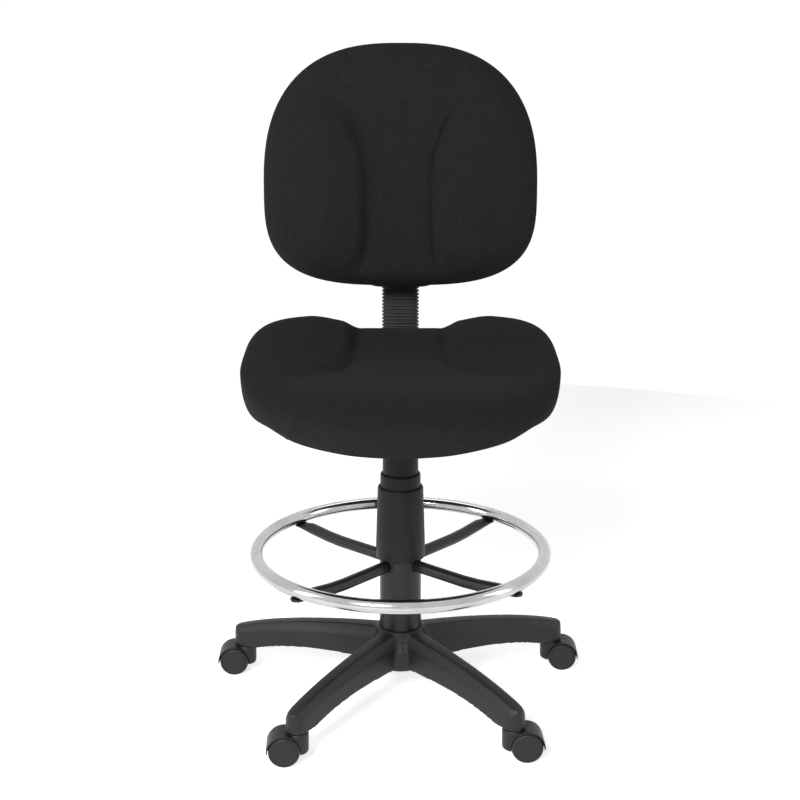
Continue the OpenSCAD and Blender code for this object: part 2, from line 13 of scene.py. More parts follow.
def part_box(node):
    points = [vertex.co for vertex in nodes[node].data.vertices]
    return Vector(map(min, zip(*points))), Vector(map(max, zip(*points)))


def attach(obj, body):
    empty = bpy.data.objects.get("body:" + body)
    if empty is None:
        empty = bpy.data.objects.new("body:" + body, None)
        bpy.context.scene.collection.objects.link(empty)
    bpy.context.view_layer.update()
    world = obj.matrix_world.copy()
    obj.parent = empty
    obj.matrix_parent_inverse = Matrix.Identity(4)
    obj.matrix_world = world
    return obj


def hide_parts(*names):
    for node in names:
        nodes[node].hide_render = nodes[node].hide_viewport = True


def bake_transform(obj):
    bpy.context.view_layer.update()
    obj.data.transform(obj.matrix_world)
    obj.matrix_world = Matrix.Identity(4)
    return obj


bl_info = {
    "name": "Drafting chair",
    "version": (1, 0, 0),
    "blender": (4, 5, 0),
    "location": "View3D > Sidebar > Chair",
    "description": "Builds an upholstered drafting chair on a caster base around its packed frame",
    "category": "Add Mesh",
}

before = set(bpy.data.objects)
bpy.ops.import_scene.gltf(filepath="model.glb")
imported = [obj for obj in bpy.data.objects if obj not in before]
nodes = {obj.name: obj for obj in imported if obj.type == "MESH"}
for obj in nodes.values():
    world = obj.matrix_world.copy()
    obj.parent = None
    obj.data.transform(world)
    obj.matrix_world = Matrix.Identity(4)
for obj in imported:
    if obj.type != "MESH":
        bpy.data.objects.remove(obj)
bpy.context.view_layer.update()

MM = 0.001
CASTERS = range(1, 6)
# Everything above the casters is measured from the column's own zero, which is this high above the floor.
COLUMN_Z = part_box("gas_tube")[0].z - 75 * MM


# ---------------------------------------------------------------- numbers


def clamp(value, low=0.0, high=1.0):
    return max(low, min(high, value))


def smooth(value, start, end):
    """0 at start, 1 at end and an easy curve between them."""
    t = clamp((value - start) / (end - start))
    return t * t * (3 - 2 * t)


def blend(a, b, t):
    return a + (b - a) * t


def eased_slope(before, after):
    """The slope at a stop, level where the line turns back."""
    return 0.0 if before * after <= 0 else 2 * before * after / (before + after)


def along(stops, at):
    """The value at a place on a smooth line through (place, value) stops."""
    if at <= stops[0][0]:
        return stops[0][1]
    slopes = [(v1 - v0) / (p1 - p0) for (p0, v0), (p1, v1) in zip(stops, stops[1:])]
    for k, slope in enumerate(slopes):
        (p0, v0), (p1, v1) = stops[k], stops[k + 1]
        if at <= p1:
            start = eased_slope(slopes[k - 1], slope) if k else 0.0
            end = eased_slope(slope, slopes[k + 1]) if k + 1 < len(slopes) else slope
            t, span = (at - p0) / (p1 - p0), p1 - p0
            return (v0 * (2 * t ** 3 - 3 * t ** 2 + 1) + start * span * (t ** 3 - 2 * t ** 2 + t)
                    + v1 * (3 * t ** 2 - 2 * t ** 3) + end * span * (t ** 3 - t ** 2))
    return stops[-1][1]


def oval(turn, half_width, up, down, power, lower_power=None):
    """A point of a rounded-square outline. Turn goes once around from 0 to 1."""
    c, s = math.cos(math.tau * turn), math.sin(math.tau * turn)
    if s < 0 and lower_power is not None:
        power = lower_power
    x = half_width * math.copysign(abs(c) ** (2 / power), c)
    y = (up if s >= 0 else down) * math.copysign(abs(s) ** (2 / power), s)
    return x, y


def flat_ring(half_width, half_depth, power, at_y, at_z, count=72):
    """A level squarish ring in metres, from sizes in millimetres."""
    ring = [oval(j / count, half_width, half_depth, half_depth, power) for j in range(count)]
    return [(x * MM, (at_y + y) * MM, at_z * MM) for x, y in ring]


def round_ring(radius, at_z, count):
    """A level round ring in metres, from sizes in millimetres."""
    turns = [math.tau * j / count for j in range(count)]
    return [(radius * MM * math.cos(a), radius * MM * math.sin(a), at_z * MM) for a in turns]


def even_oval(count, half_width, up, down, power, lower_power=None):
    """Points of the same outline, spaced evenly along it, counted from +X."""
    fine = [oval(i / 2880, half_width, up, down, power, lower_power) for i in range(2881)]
    lengths = [0.0]
    for (x0, y0), (x1, y1) in zip(fine, fine[1:]):
        lengths.append(lengths[-1] + math.hypot(x1 - x0, y1 - y0))
    points, j = [], 0
    for i in range(count):
        target = lengths[-1] * i / count
        while lengths[j + 1] < target:
            j += 1
        t = (target - lengths[j]) / (lengths[j + 1] - lengths[j])
        points.append((blend(fine[j][0], fine[j + 1][0], t), blend(fine[j][1], fine[j + 1][1], t)))
    return points


# ---------------------------------------------------------------- meshes


def new_object(name, mesh):
    piece = bpy.data.objects.new(name, mesh)
    piece.location.z = COLUMN_Z
    bpy.context.scene.collection.objects.link(piece)
    return piece


def mesh_from(name, points, faces, smooth_faces=True):
    mesh = bpy.data.meshes.new(name)
    mesh.from_pydata([tuple(p) for p in points], [], faces)
    mesh.validate()
    mesh.polygons.foreach_set("use_smooth", [smooth_faces] * len(mesh.polygons))
    mesh.update()
    return mesh


def loft(rings, closed=True, cap_start=True, cap_end=True, offset=0):
    """Faces and points through a list of rings with the same number of points."""
    count = len(rings[0])
    points = [p for ring in rings for p in ring]
    faces = []
    span = count if closed else count - 1
    for r in range(len(rings) - 1):
        for i in range(span):
            j = (i + 1) % count
            a, b = offset + r * count, offset + (r + 1) * count
            faces.append((a + i, a + j, b + j, b + i))
    if cap_start:
        faces.append(tuple(offset + i for i in reversed(range(count))))
    if cap_end:
        last = offset + (len(rings) - 1) * count
        faces.append(tuple(last + i for i in range(count)))
    return points, faces


def lathe(profile, segments=96, closed_profile=False):
    """Points and faces of a profile of (radius, height) turned about Z. A radius of 0 is a pole."""
    points, faces, rows = [], [], []
    for radius, height in profile:
        if radius <= 1e-7:
            rows.append([len(points)])
            points.append((0.0, 0.0, height))
        else:
            rows.append(list(range(len(points), len(points) + segments)))
            for i in range(segments):
                a = math.tau * i / segments
                points.append((radius * math.cos(a), radius * math.sin(a), height))
    pairs = list(zip(rows, rows[1:]))
    if closed_profile:
        pairs.append((rows[-1], rows[0]))
    for low, high in pairs:
        for i in range(segments):
            j = (i + 1) % segments
            if len(low) == 1 and len(high) == 1:
                continue
            if len(low) == 1:
                faces.append((low[0], high[j], high[i]))
            elif len(high) == 1:
                faces.append((low[i], low[j], high[0]))
            else:
                faces.append((low[i], low[j], high[j], high[i]))
    return points, faces


def rounded(profile, radius, steps=4):
    """The same profile with its inner corners rounded to a radius."""
    result = [profile[0]]
    for before, corner, after in zip(profile, profile[1:], profile[2:]):
        v0 = Vector((before[0] - corner[0], before[1] - corner[1]))
        v1 = Vector((after[0] - corner[0], after[1] - corner[1]))
        reach = min(radius, v0.length * 0.49, v1.length * 0.49)
        if reach < 1e-6:
            result.append(corner)
            continue
        p0 = Vector(corner) + v0.normalized() * reach
        p1 = Vector(corner) + v1.normalized() * reach
        for k in range(steps + 1):
            t = k / steps
            q = p0 * (1 - t) ** 2 + Vector(corner) * 2 * t * (1 - t) + p1 * t * t
            result.append((q.x, q.y))
    result.append(profile[-1])
    return result


class Builder:
    """Gathers several shapes into one mesh."""

    def __init__(self):
        self.points, self.faces = [], []

    def add(self, shape, place=None):
        points, faces = shape
        base = len(self.points)
        if place is not None:
            points = [place @ Vector(p) for p in points]
        self.points += [tuple(p) for p in points]
        self.faces += [tuple(base + i for i in f) for f in faces]
        return self

    def mesh(self, name, smooth_faces=True):
        mesh = mesh_from(name, self.points, self.faces, smooth_faces)
        outward(mesh)
        return mesh


def outward(mesh):
    """Turns every face of a closed mesh outwards."""
    work = bmesh.new()
    work.from_mesh(mesh)
    bmesh.ops.recalc_face_normals(work, faces=work.faces)
    work.to_mesh(mesh)
    work.free()


def box_shape(low, high):
    (x0, y0, z0), (x1, y1, z1) = low, high
    points = [(x0, y0, z0), (x1, y0, z0), (x1, y1, z0), (x0, y1, z0),
              (x0, y0, z1), (x1, y0, z1), (x1, y1, z1), (x0, y1, z1)]
    faces = [(3, 2, 1, 0), (4, 5, 6, 7), (0, 1, 5, 4), (1, 2, 6, 5), (2, 3, 7, 6), (3, 0, 4, 7)]
    return points, faces


def apply_modifiers(piece):
    """Bakes the piece's modifiers into its mesh."""
    bpy.context.view_layer.update()
    evaluated = piece.evaluated_get(bpy.context.evaluated_depsgraph_get())
    mesh = bpy.data.meshes.new_from_object(evaluated)
    piece.modifiers.clear()
    old = piece.data
    piece.data = mesh
    if old.users == 0:
        bpy.data.meshes.remove(old)
    return piece


def moulded(piece, voxel, passes, factor=0.5):
    """Melts overlapping shapes into one skin with small fillets, as a moulding has."""
    remesh = piece.modifiers.new("skin", "REMESH")
    remesh.mode = "VOXEL"
    remesh.voxel_size = voxel
    remesh.use_smooth_shade = True
    relax = piece.modifiers.new("relax", "SMOOTH")
    relax.factor = factor
    relax.iterations = passes
    apply_modifiers(piece)
    piece.data.polygons.foreach_set("use_smooth", [True] * len(piece.data.polygons))
    return piece


def soft_edges(piece, width, segments=3, angle=math.radians(35)):
    bevel = piece.modifiers.new("edge", "BEVEL")
    bevel.width = width
    bevel.segments = segments
    bevel.limit_method = "ANGLE"
    bevel.angle_limit = angle
    bevel.harden_normals = True
    return piece


def finish_piece(piece, material, body, replaced=()):
    """Gives the piece its finish, its place in the frame and the nodes it stands for."""
    piece.data.materials.clear()
    piece.data.materials.append(material)
    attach(piece, body)
    if replaced:
        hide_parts(*replaced)
    return piece

# ---------------------------------------------------------------- finishes


class Signal:
    """What a node gives out. Arithmetic on it adds the Math or Vector Math node that does the sum."""

    def __init__(self, finish, socket):
        self.finish, self.socket = finish, socket

    def combined(self, operation, first, second):
        signals = [v for v in (first, second) if isinstance(v, Signal)]
        is_vector = any(s.socket.type in {"VECTOR", "RGBA"} for s in signals)
        kind = "ShaderNodeVectorMath" if is_vector else "ShaderNodeMath"
        return self.finish.node(kind, {"operation": operation}, {0: first, 1: second})

    def __add__(self, other):
        return self.combined("ADD", self, other)

    def __radd__(self, other):
        return self.combined("ADD", other, self)

    def __sub__(self, other):
        return self.combined("SUBTRACT", self, other)

    def __rsub__(self, other):
        return self.combined("SUBTRACT", other, self)

    def __mul__(self, other):
        return self.combined("MULTIPLY", self, other)

    def __rmul__(self, other):
        return self.combined("MULTIPLY", other, self)

    def __truediv__(self, other):
        return self.combined("DIVIDE", self, other)

    def __pow__(self, other):
        return self.combined("POWER", self, other)


class Finish:
    """One material: a Principled shader and the nodes that feed it."""

    def __init__(self, name, **constants):
        self.material = bpy.data.materials.new(name)
        self.material.use_nodes = True
        self.tree = self.material.node_tree
        self.tree.nodes.clear()
        output = self.tree.nodes.new("ShaderNodeOutputMaterial")
        self.shader = self.tree.nodes.new("ShaderNodeBsdfPrincipled")
        self.tree.links.new(self.shader.outputs["BSDF"], output.inputs["Surface"])
        for name, value in constants.items():
            self.shader.inputs[name.replace("_", " ")].default_value = value
        self.place = self.node("ShaderNodeTexCoord", output="Object")

    def node(self, kind, settings=None, inputs=None, output=0):
        """Adds a node. Its settings are made first, then its sockets are given values or links."""
        made = self.tree.nodes.new(kind)
        for name, value in (settings or {}).items():
            if name == "stops":
                ramp = made.color_ramp
                while len(ramp.elements) < len(value):
                    ramp.elements.new(0.5)
                for element, (position, shade) in zip(ramp.elements, value):
                    element.position = position
                    element.color = (*shade, 1.0) if hasattr(shade, "__len__") else (shade, shade, shade, 1.0)
            else:
                setattr(made, name, value)
        for name, value in (inputs or {}).items():
            socket = made.inputs[name]
            if isinstance(value, Signal):
                self.tree.links.new(value.socket, socket)
            elif socket.type == "VECTOR" and not hasattr(value, "__len__"):
                socket.default_value = (value, value, value)
            elif socket.type == "RGBA":
                socket.default_value = (*tuple(value)[:3], 1.0)
            else:
                socket.default_value = value
        return Signal(self, made.outputs[output])

    def stretched(self, scale):
        """The object's own coordinates, scaled along each axis."""
        return self.node("ShaderNodeMapping", {"vector_type": "POINT"}, {"Vector": self.place, "Scale": scale})

    def noise(self, scale, detail=3.0, roughness=0.5, at=None):
        return self.node("ShaderNodeTexNoise", {}, {"Vector": at or self.place, "Scale": scale, "Detail": detail,
                                                    "Roughness": roughness}, "Fac")

    def cells(self, scale, feature="F1", at=None):
        return self.node("ShaderNodeTexVoronoi", {"feature": feature},
                         {"Vector": at or self.place, "Scale": scale}, "Distance")

    def ramp(self, signal, *stops):
        return self.node("ShaderNodeValToRGB", {"stops": stops}, {"Fac": signal}, "Color")

    def between(self, signal, low, high):
        """Spreads a signal's own 0.3 to 0.7 over the range from low to high."""
        return self.node("ShaderNodeMapRange", {"clamp": True},
                         {"Value": signal, "From Min": 0.3, "From Max": 0.7, "To Min": low, "To Max": high})

    def colours(self, factor, first, second, blend_type="MIX"):
        return self.node("ShaderNodeMix", {"data_type": "RGBA", "blend_type": blend_type},
                         {0: factor, 6: first, 7: second}, 2)

    def edges(self, start=0.52, end=0.62):
        """1 along convex edges, where handling rubs, and 0 elsewhere."""
        pointed = self.node("ShaderNodeNewGeometry", output="Pointiness")
        return self.node("ShaderNodeMapRange", {"clamp": True},
                         {"Value": pointed, "From Min": start, "From Max": end, "To Min": 0.0, "To Max": 1.0})

    def feed(self, name, signal):
        self.tree.links.new(signal.socket, self.shader.inputs[name])
        return self

    def bump(self, height, distance, strength=1.0):
        normal = self.node("ShaderNodeBump", {}, {"Height": height, "Distance": distance, "Strength": strength},
                           "Normal")
        return self.feed("Normal", normal)


def scaled(colour, factor):
    return tuple(channel * factor for channel in colour)


def crepe_cloth(name, colour):
    """Matt black crepe: a fine pebbled weave of crossing threads over slow cloudy shading."""
    cloth = Finish(name, Sheen_Weight=0.02, Sheen_Roughness=0.5, Specular_IOR_Level=0.02)
    warp = cloth.noise(1300.0, 2.0, 0.6, cloth.stretched((1.0, 1.0, 0.4)))
    weft = cloth.noise(1300.0, 2.0, 0.6, cloth.stretched((0.4, 0.6, 1.0)))
    crepe = cloth.noise(430.0, 3.0, 0.66)
    pebbles = cloth.cells(900.0)
    clouds = cloth.noise(22.0, 3.0, 0.55)
    weave = warp * 0.5 + weft * 0.5
    shade = cloth.between(weave * 0.3 + crepe * 0.64 + clouds * 0.06, 0.2, 0.8)
    cloth.feed("Base Color", cloth.colours(shade, scaled(colour, 0.15), scaled(colour, 2.1)))
    cloth.feed("Roughness", cloth.between(weave, 0.86, 1.0))
    cloth.bump(weave * 0.5 + (1.0 - pebbles) * 0.4 + crepe * 0.9, 0.0011, 0.85)
    return cloth.material


def sparked_nylon(name, colour):
    """Glass-filled nylon with the fine grain of a spark-eroded mould, rubbed paler along its edges."""
    nylon = Finish(name, Specular_IOR_Level=0.28)
    grain = nylon.noise(1700.0, 2.0, 0.6)
    flow = nylon.noise(26.0, 3.0, 0.5)
    worn = nylon.edges(0.515, 0.60)
    shade = nylon.between(flow * 0.65 + grain * 0.35, 0.0, 1.0)
    body = nylon.colours(shade, scaled(colour, 0.8), scaled(colour, 1.22))
    nylon.feed("Base Color", nylon.colours(worn * 0.35, body, scaled(colour, 2.3)))
    nylon.feed("Roughness", nylon.between(grain * 0.6 + flow * 0.4, 0.40, 0.56))
    nylon.bump(grain + flow * 0.3, 0.00035, 0.35)
    return nylon.material


def smooth_nylon(name, colour):
    """The wheels: smoother nylon with faint turning marks and scuffs from rolling."""
    nylon = Finish(name, Specular_IOR_Level=0.2)
    scuffs = nylon.noise(190.0, 5.0, 0.7)
    grain = nylon.noise(1300.0, 2.0, 0.5)
    worn = nylon.edges(0.515, 0.60)
    shade = nylon.between(scuffs * 0.6 + grain * 0.4, 0.0, 1.0)
    body = nylon.colours(shade, scaled(colour, 0.8), scaled(colour, 1.25))
    nylon.feed("Base Color", nylon.colours(worn * 0.45, body, scaled(colour, 2.4)))
    nylon.feed("Roughness", nylon.between(scuffs, 0.34, 0.52))
    nylon.bump(grain * 0.6 + scuffs * 0.4, 0.0003, 0.25)
    return nylon.material


def powder_coat(name, colour):
    """Black powder coat with its slight orange peel."""
    coat = Finish(name, Specular_IOR_Level=0.3)
    peel = coat.noise(420.0, 2.0, 0.5)
    clouds = coat.noise(18.0, 3.0, 0.5)
    worn = coat.edges(0.52, 0.64)
    shade = coat.between(peel * 0.5 + clouds * 0.5, 0.0, 1.0)
    body = coat.colours(shade, scaled(colour, 0.82), scaled(colour, 1.2))
    coat.feed("Base Color", coat.colours(worn * 0.3, body, scaled(colour, 2.4)))
    coat.feed("Roughness", coat.between(clouds * 0.5 + peel * 0.5, 0.30, 0.46))
    coat.bump(peel, 0.0004, 0.3)
    return coat.material


def ring_chrome(name, colour):
    """Bright chrome with faint polishing lines and a few fine foot scuffs on top."""
    chrome = Finish(name, Metallic=1.0)
    lines = chrome.noise(60.0, 4.0, 0.6, chrome.stretched((1.0, 1.0, 26.0)))
    scuffs = chrome.noise(310.0, 4.0, 0.65, chrome.stretched((1.0, 1.0, 0.3)))
    haze = chrome.noise(14.0, 3.0, 0.5)
    shade = chrome.between(lines * 0.5 + haze * 0.5, 0.0, 1.0)
    chrome.feed("Base Color", chrome.colours(shade, scaled(colour, 0.7), scaled(colour, 1.1)))
    chrome.feed("Roughness", chrome.between(lines * 0.4 + scuffs * 0.3 + haze * 0.3, 0.07, 0.17))
    chrome.bump(lines * 0.5 + scuffs * 0.5, 0.0002, 0.12)
    return chrome.material


def bare_steel(name, colour):
    """Plain turned steel with fine streaks."""
    steel = Finish(name, Metallic=1.0)
    streaks = steel.noise(260.0, 3.0, 0.6, steel.stretched((1.0, 1.0, 8.0)))
    stains = steel.noise(45.0, 3.0, 0.6)
    shade = steel.between(streaks * 0.6 + stains * 0.4, 0.0, 1.0)
    steel.feed("Base Color", steel.colours(shade, scaled(colour, 0.75), scaled(colour, 1.15)))
    steel.feed("Roughness", steel.between(streaks, 0.22, 0.42))
    steel.bump(streaks, 0.0002, 0.2)
    return steel.material


def satin_plastic(name, colour):
    """Satin black plastic of the column covers, lever and knobs."""
    plastic = Finish(name, Specular_IOR_Level=0.15)
    grain = plastic.noise(1500.0, 2.0, 0.6)
    draw = plastic.noise(90.0, 3.0, 0.55, plastic.stretched((1.0, 1.0, 0.12)))
    worn = plastic.edges(0.52, 0.62)
    shade = plastic.between(draw * 0.5 + grain * 0.5, 0.0, 1.0)
    body = plastic.colours(shade, scaled(colour, 0.82), scaled(colour, 1.2))
    plastic.feed("Base Color", plastic.colours(worn * 0.35, body, scaled(colour, 2.2)))
    plastic.feed("Roughness", plastic.between(draw * 0.6 + grain * 0.4, 0.36, 0.50))
    plastic.bump(grain + draw * 0.4, 0.0003, 0.3)
    return plastic.material


def grained_plastic(name, colour):
    """Shell plastic with a coarse leather grain."""
    plastic = Finish(name, Specular_IOR_Level=0.25)
    pebbles = plastic.cells(620.0)
    creases = plastic.cells(380.0, "DISTANCE_TO_EDGE")
    fine = plastic.noise(1600.0, 2.0, 0.6)
    worn = plastic.edges(0.52, 0.62)
    shade = plastic.between(pebbles * 0.5 + fine * 0.5, 0.0, 1.0)
    body = plastic.colours(shade, scaled(colour, 0.8), scaled(colour, 1.25))
    plastic.feed("Base Color", plastic.colours(worn * 0.3, body, scaled(colour, 2.2)))
    plastic.feed("Roughness", plastic.between(pebbles * 0.6 + fine * 0.4, 0.46, 0.66))
    plastic.bump(creases * 1.4 + pebbles * 0.4 + fine * 0.2, 0.0005, 0.45)
    return plastic.material


def dull_vinyl(name, colour):
    """Flexible vinyl of the ribbed boot, and sealing rubber."""
    vinyl = Finish(name, Specular_IOR_Level=0.35)
    bloom = vinyl.noise(75.0, 4.0, 0.6)
    grain = vinyl.noise(1400.0, 2.0, 0.5)
    worn = vinyl.edges(0.52, 0.66)
    shade = vinyl.between(bloom * 0.6 + grain * 0.4, 0.0, 1.0)
    body = vinyl.colours(shade, scaled(colour, 0.75), scaled(colour, 1.3))
    vinyl.feed("Base Color", vinyl.colours(worn * 0.4, body, scaled(colour, 2.4)))
    vinyl.feed("Roughness", vinyl.between(bloom, 0.48, 0.68))
    vinyl.bump(grain, 0.0003, 0.3)
    return vinyl.material


def birch_plywood(name, colour):
    """Plywood: veneer lines across its thickness and long soft grain on its faces."""
    wood = Finish(name, Specular_IOR_Level=0.3)
    veneers = wood.noise(420.0, 2.0, 0.4, wood.stretched((0.02, 0.02, 1.0)))
    fibres = wood.noise(160.0, 5.0, 0.65, wood.stretched((0.06, 1.0, 1.0)))
    knots = wood.noise(9.0, 3.0, 0.55)
    shade = wood.between(veneers * 0.4 + fibres * 0.35 + knots * 0.25, 0.0, 1.0)
    wood.feed("Base Color", wood.colours(shade, scaled(colour, 0.6), scaled(colour, 1.25)))
    wood.feed("Roughness", wood.between(fibres, 0.55, 0.8))
    wood.bump(fibres + veneers * 0.5, 0.0004, 0.4)
    return wood.material


def plain_nylon(name, colour):
    """Unfilled nylon of bushes, a little waxy, and the valve button."""
    nylon = Finish(name, Specular_IOR_Level=0.3)
    flow = nylon.noise(120.0, 3.0, 0.5)
    grain = nylon.noise(1200.0, 2.0, 0.5)
    shade = nylon.between(flow, 0.0, 1.0)
    nylon.feed("Base Color", nylon.colours(shade, scaled(colour, 0.85), scaled(colour, 1.08)))
    nylon.feed("Roughness", nylon.between(flow * 0.5 + grain * 0.5, 0.32, 0.5))
    nylon.bump(grain, 0.0002, 0.2)
    return nylon.material


# ---------------------------------------------------------------- sizes and colours


def length(label, words, millimetres, low=0.0):
    return bpy.props.FloatProperty(name=label, description=words, default=millimetres * MM, min=low, unit="LENGTH")


def colour(label, words, shade):
    return bpy.props.FloatVectorProperty(name=label, description=words, default=shade, subtype="COLOR",
                                         size=3, min=0.0, max=1.0)


class ChairBaseSizes(bpy.types.PropertyGroup):
    """Sizes of the star base, its casters and the footring."""

    stem_circle: length("Stem circle radius", "Distance from the column to each caster stem", 288)
    first_arm: bpy.props.FloatProperty(name="First arm angle", description="Direction of the arm that points back",
                                       default=math.radians(92), subtype="ANGLE")
    hub_top: length("Hub top", "Height of the top of the hub", 146.5)
    arm_wall: length("Arm wall", "Thickness of the moulded arms", 4.5)
    wheel: length("Wheel radius", "Radius of each caster wheel", 25)
    trail: length("Caster trail", "Distance from the stem to the axle", 21)
    ring: length("Footring radius", "Radius of the footring's centreline", 243)
    ring_tube: length("Footring tube radius", "Radius of the footring's tube", 11)
    ring_height: length("Footring height", "Height of the footring's centreline", 282.7)
    spoke: length("Spoke radius", "Radius of each spoke tube", 10)
    first_spoke: bpy.props.FloatProperty(name="First spoke angle", description="Direction of the first spoke",
                                         default=math.radians(48.5), subtype="ANGLE")


class ChairSeatSizes(bpy.types.PropertyGroup):
    """Sizes of the seat and backrest."""

    half_width: length("Half width", "Half of the seat's width", 263)
    front: length("Front reach", "From the seat's widest line to its front edge", 304)
    rear: length("Rear reach", "From the seat's widest line to its rear edge", 168)
    middle: bpy.props.FloatProperty(name="Middle", description="Place of the seat's widest line along Y",
                                    default=54 * MM, unit="LENGTH")
    rim: length("Rim height", "Height of the lowest edge of the seat", 518)
    back_half_width: length("Back half width", "Half of the backrest's width", 238)
    back_up: length("Back upper reach", "From the backrest's widest line to its top", 249)
    back_down: length("Back lower reach", "From the backrest's widest line to its bottom", 165.4)
    back_height: length("Back height", "Height of the backrest's widest line", 865.6)
    back_place: length("Back place", "Place of the backrest's rim along Y", 225)
    back_lean: bpy.props.FloatProperty(name="Back lean", description="Backward lean of the backrest",
                                       default=math.radians(5), subtype="ANGLE")


class ChairColours(bpy.types.PropertyGroup):
    """Base colours of the finishes."""

    cloth: colour("Cloth", "Upholstery on seat and backrest", (0.0165, 0.0167, 0.017))
    nylon: colour("Nylon", "Star base and caster hoods", (0.0135, 0.0137, 0.014))
    wheels: colour("Wheels", "Caster wheels", (0.021, 0.0212, 0.0216))
    covers: colour("Covers", "Column covers, lever and knobs", (0.0125, 0.0127, 0.013))
    coat: colour("Powder coat", "Sleeve, spokes, bar and mechanism", (0.010, 0.0101, 0.0104))
    chrome: colour("Chrome", "Footring", (0.55, 0.555, 0.56))


FINISHES = {}


def finish(name):
    return FINISHES[name]


# ---------------------------------------------------------------- star base


def arm_ring(r, wall):
    """The inverted channel of an arm at a distance from the column, in millimetres across and up."""
    bottom_w = along([(28, 24), (60, 22.5), (120, 21.4), (200, 19.9), (262, 18.4), (288, 18)], r)
    crown_w = along([(28, 14), (60, 12), (120, 10.5), (200, 9.6), (296, 9)], r)
    crown = along([(28, 142.5), (60, 141.8), (100, 139.8), (165, 134), (220, 126.5), (270, 116.5), (296, 109.5)], r)
    shoulder = crown - along([(28, 20), (100, 17), (200, 14), (290, 11)], r)
    bottom = along([(28, 84), (90, 87), (150, 88.5), (210, 84.5), (250, 77), (262, 74)], r)
    if r > 288:
        squeeze = math.sqrt(max(0.0, 1 - ((r - 288) / 20) ** 2))
        bottom_w, crown_w = bottom_w * squeeze, crown_w * squeeze
        crown -= 10 * (1 - squeeze) ** 1.5
        shoulder -= 13 * (1 - squeeze) ** 1.5
    waist = bottom_w - 1.2
    hollow = 1 - smooth(r, 244, 262)
    roof = blend(bottom + 1.5, crown - wall, hollow)
    eaves = blend(bottom + 1.0, shoulder - wall * 0.6, hollow)
    inner = max(0.5, bottom_w - wall)
    return [
        (bottom_w, bottom), (waist, shoulder), ((waist + crown_w) / 2, (shoulder + crown) / 2 + 0.8),
        (crown_w, crown), (0, crown + 0.6), (-crown_w, crown),
        (-(waist + crown_w) / 2, (shoulder + crown) / 2 + 0.8), (-waist, shoulder), (-bottom_w, bottom),
        (-inner, bottom), (-inner * 0.93, eaves), (-crown_w * 0.8, roof), (crown_w * 0.8, roof),
        (inner * 0.93, eaves), (inner, bottom),
    ]


def star_base(sizes):
    """Five hollow nylon arms blended into a hub, ribbed inside."""
    shapes = Builder()
    wall = sizes.arm_wall / MM
    for arm in range(5):
        turn = Matrix.Rotation(sizes.first_arm + math.radians(72 * arm), 4, "Z")
        places = [28, 45, 60, 90, 120, 150, 180, 210, 235, 250, 262, 275, 288, 294, 299, 303, 306, 307.6]
        rings = [[(r * MM, y * MM, z * MM) for y, z in arm_ring(r, wall)] for r in places]
        shapes.add(loft(rings), turn)
        for r in (95, 140, 185, 225):
            ring = arm_ring(r, wall)
            half, low, high = ring[0][0] - 3, ring[0][1] + 10, ring[3][1] - 3
            inner_x, outer_x = (r - 1.6) * MM, (r + 1.6) * MM
            for half_rib, rib_top in ((half, high - 20), (7, high)):
                corners = (inner_x, -half_rib * MM, low * MM), (outer_x, half_rib * MM, rib_top * MM)
                shapes.add(box_shape(*corners), turn)
    hub = rounded([(26.2, 80), (52, 80), (55, 85), (55, 114), (47, 129), (41.6, 135), (41, 146.4),
                   (26.2, 146.4)], 3)
    shapes.add(lathe([(r * MM, z * MM) for r, z in hub] + [(26.2 * MM, 80 * MM)], 96))
    piece = new_object("star_base_moulding", shapes.mesh("star_base_moulding"))
    moulded(piece, 1.9 * MM, 6)
    return finish_piece(piece, finish("nylon"), "base", ["star_base"])


# ---------------------------------------------------------------- casters


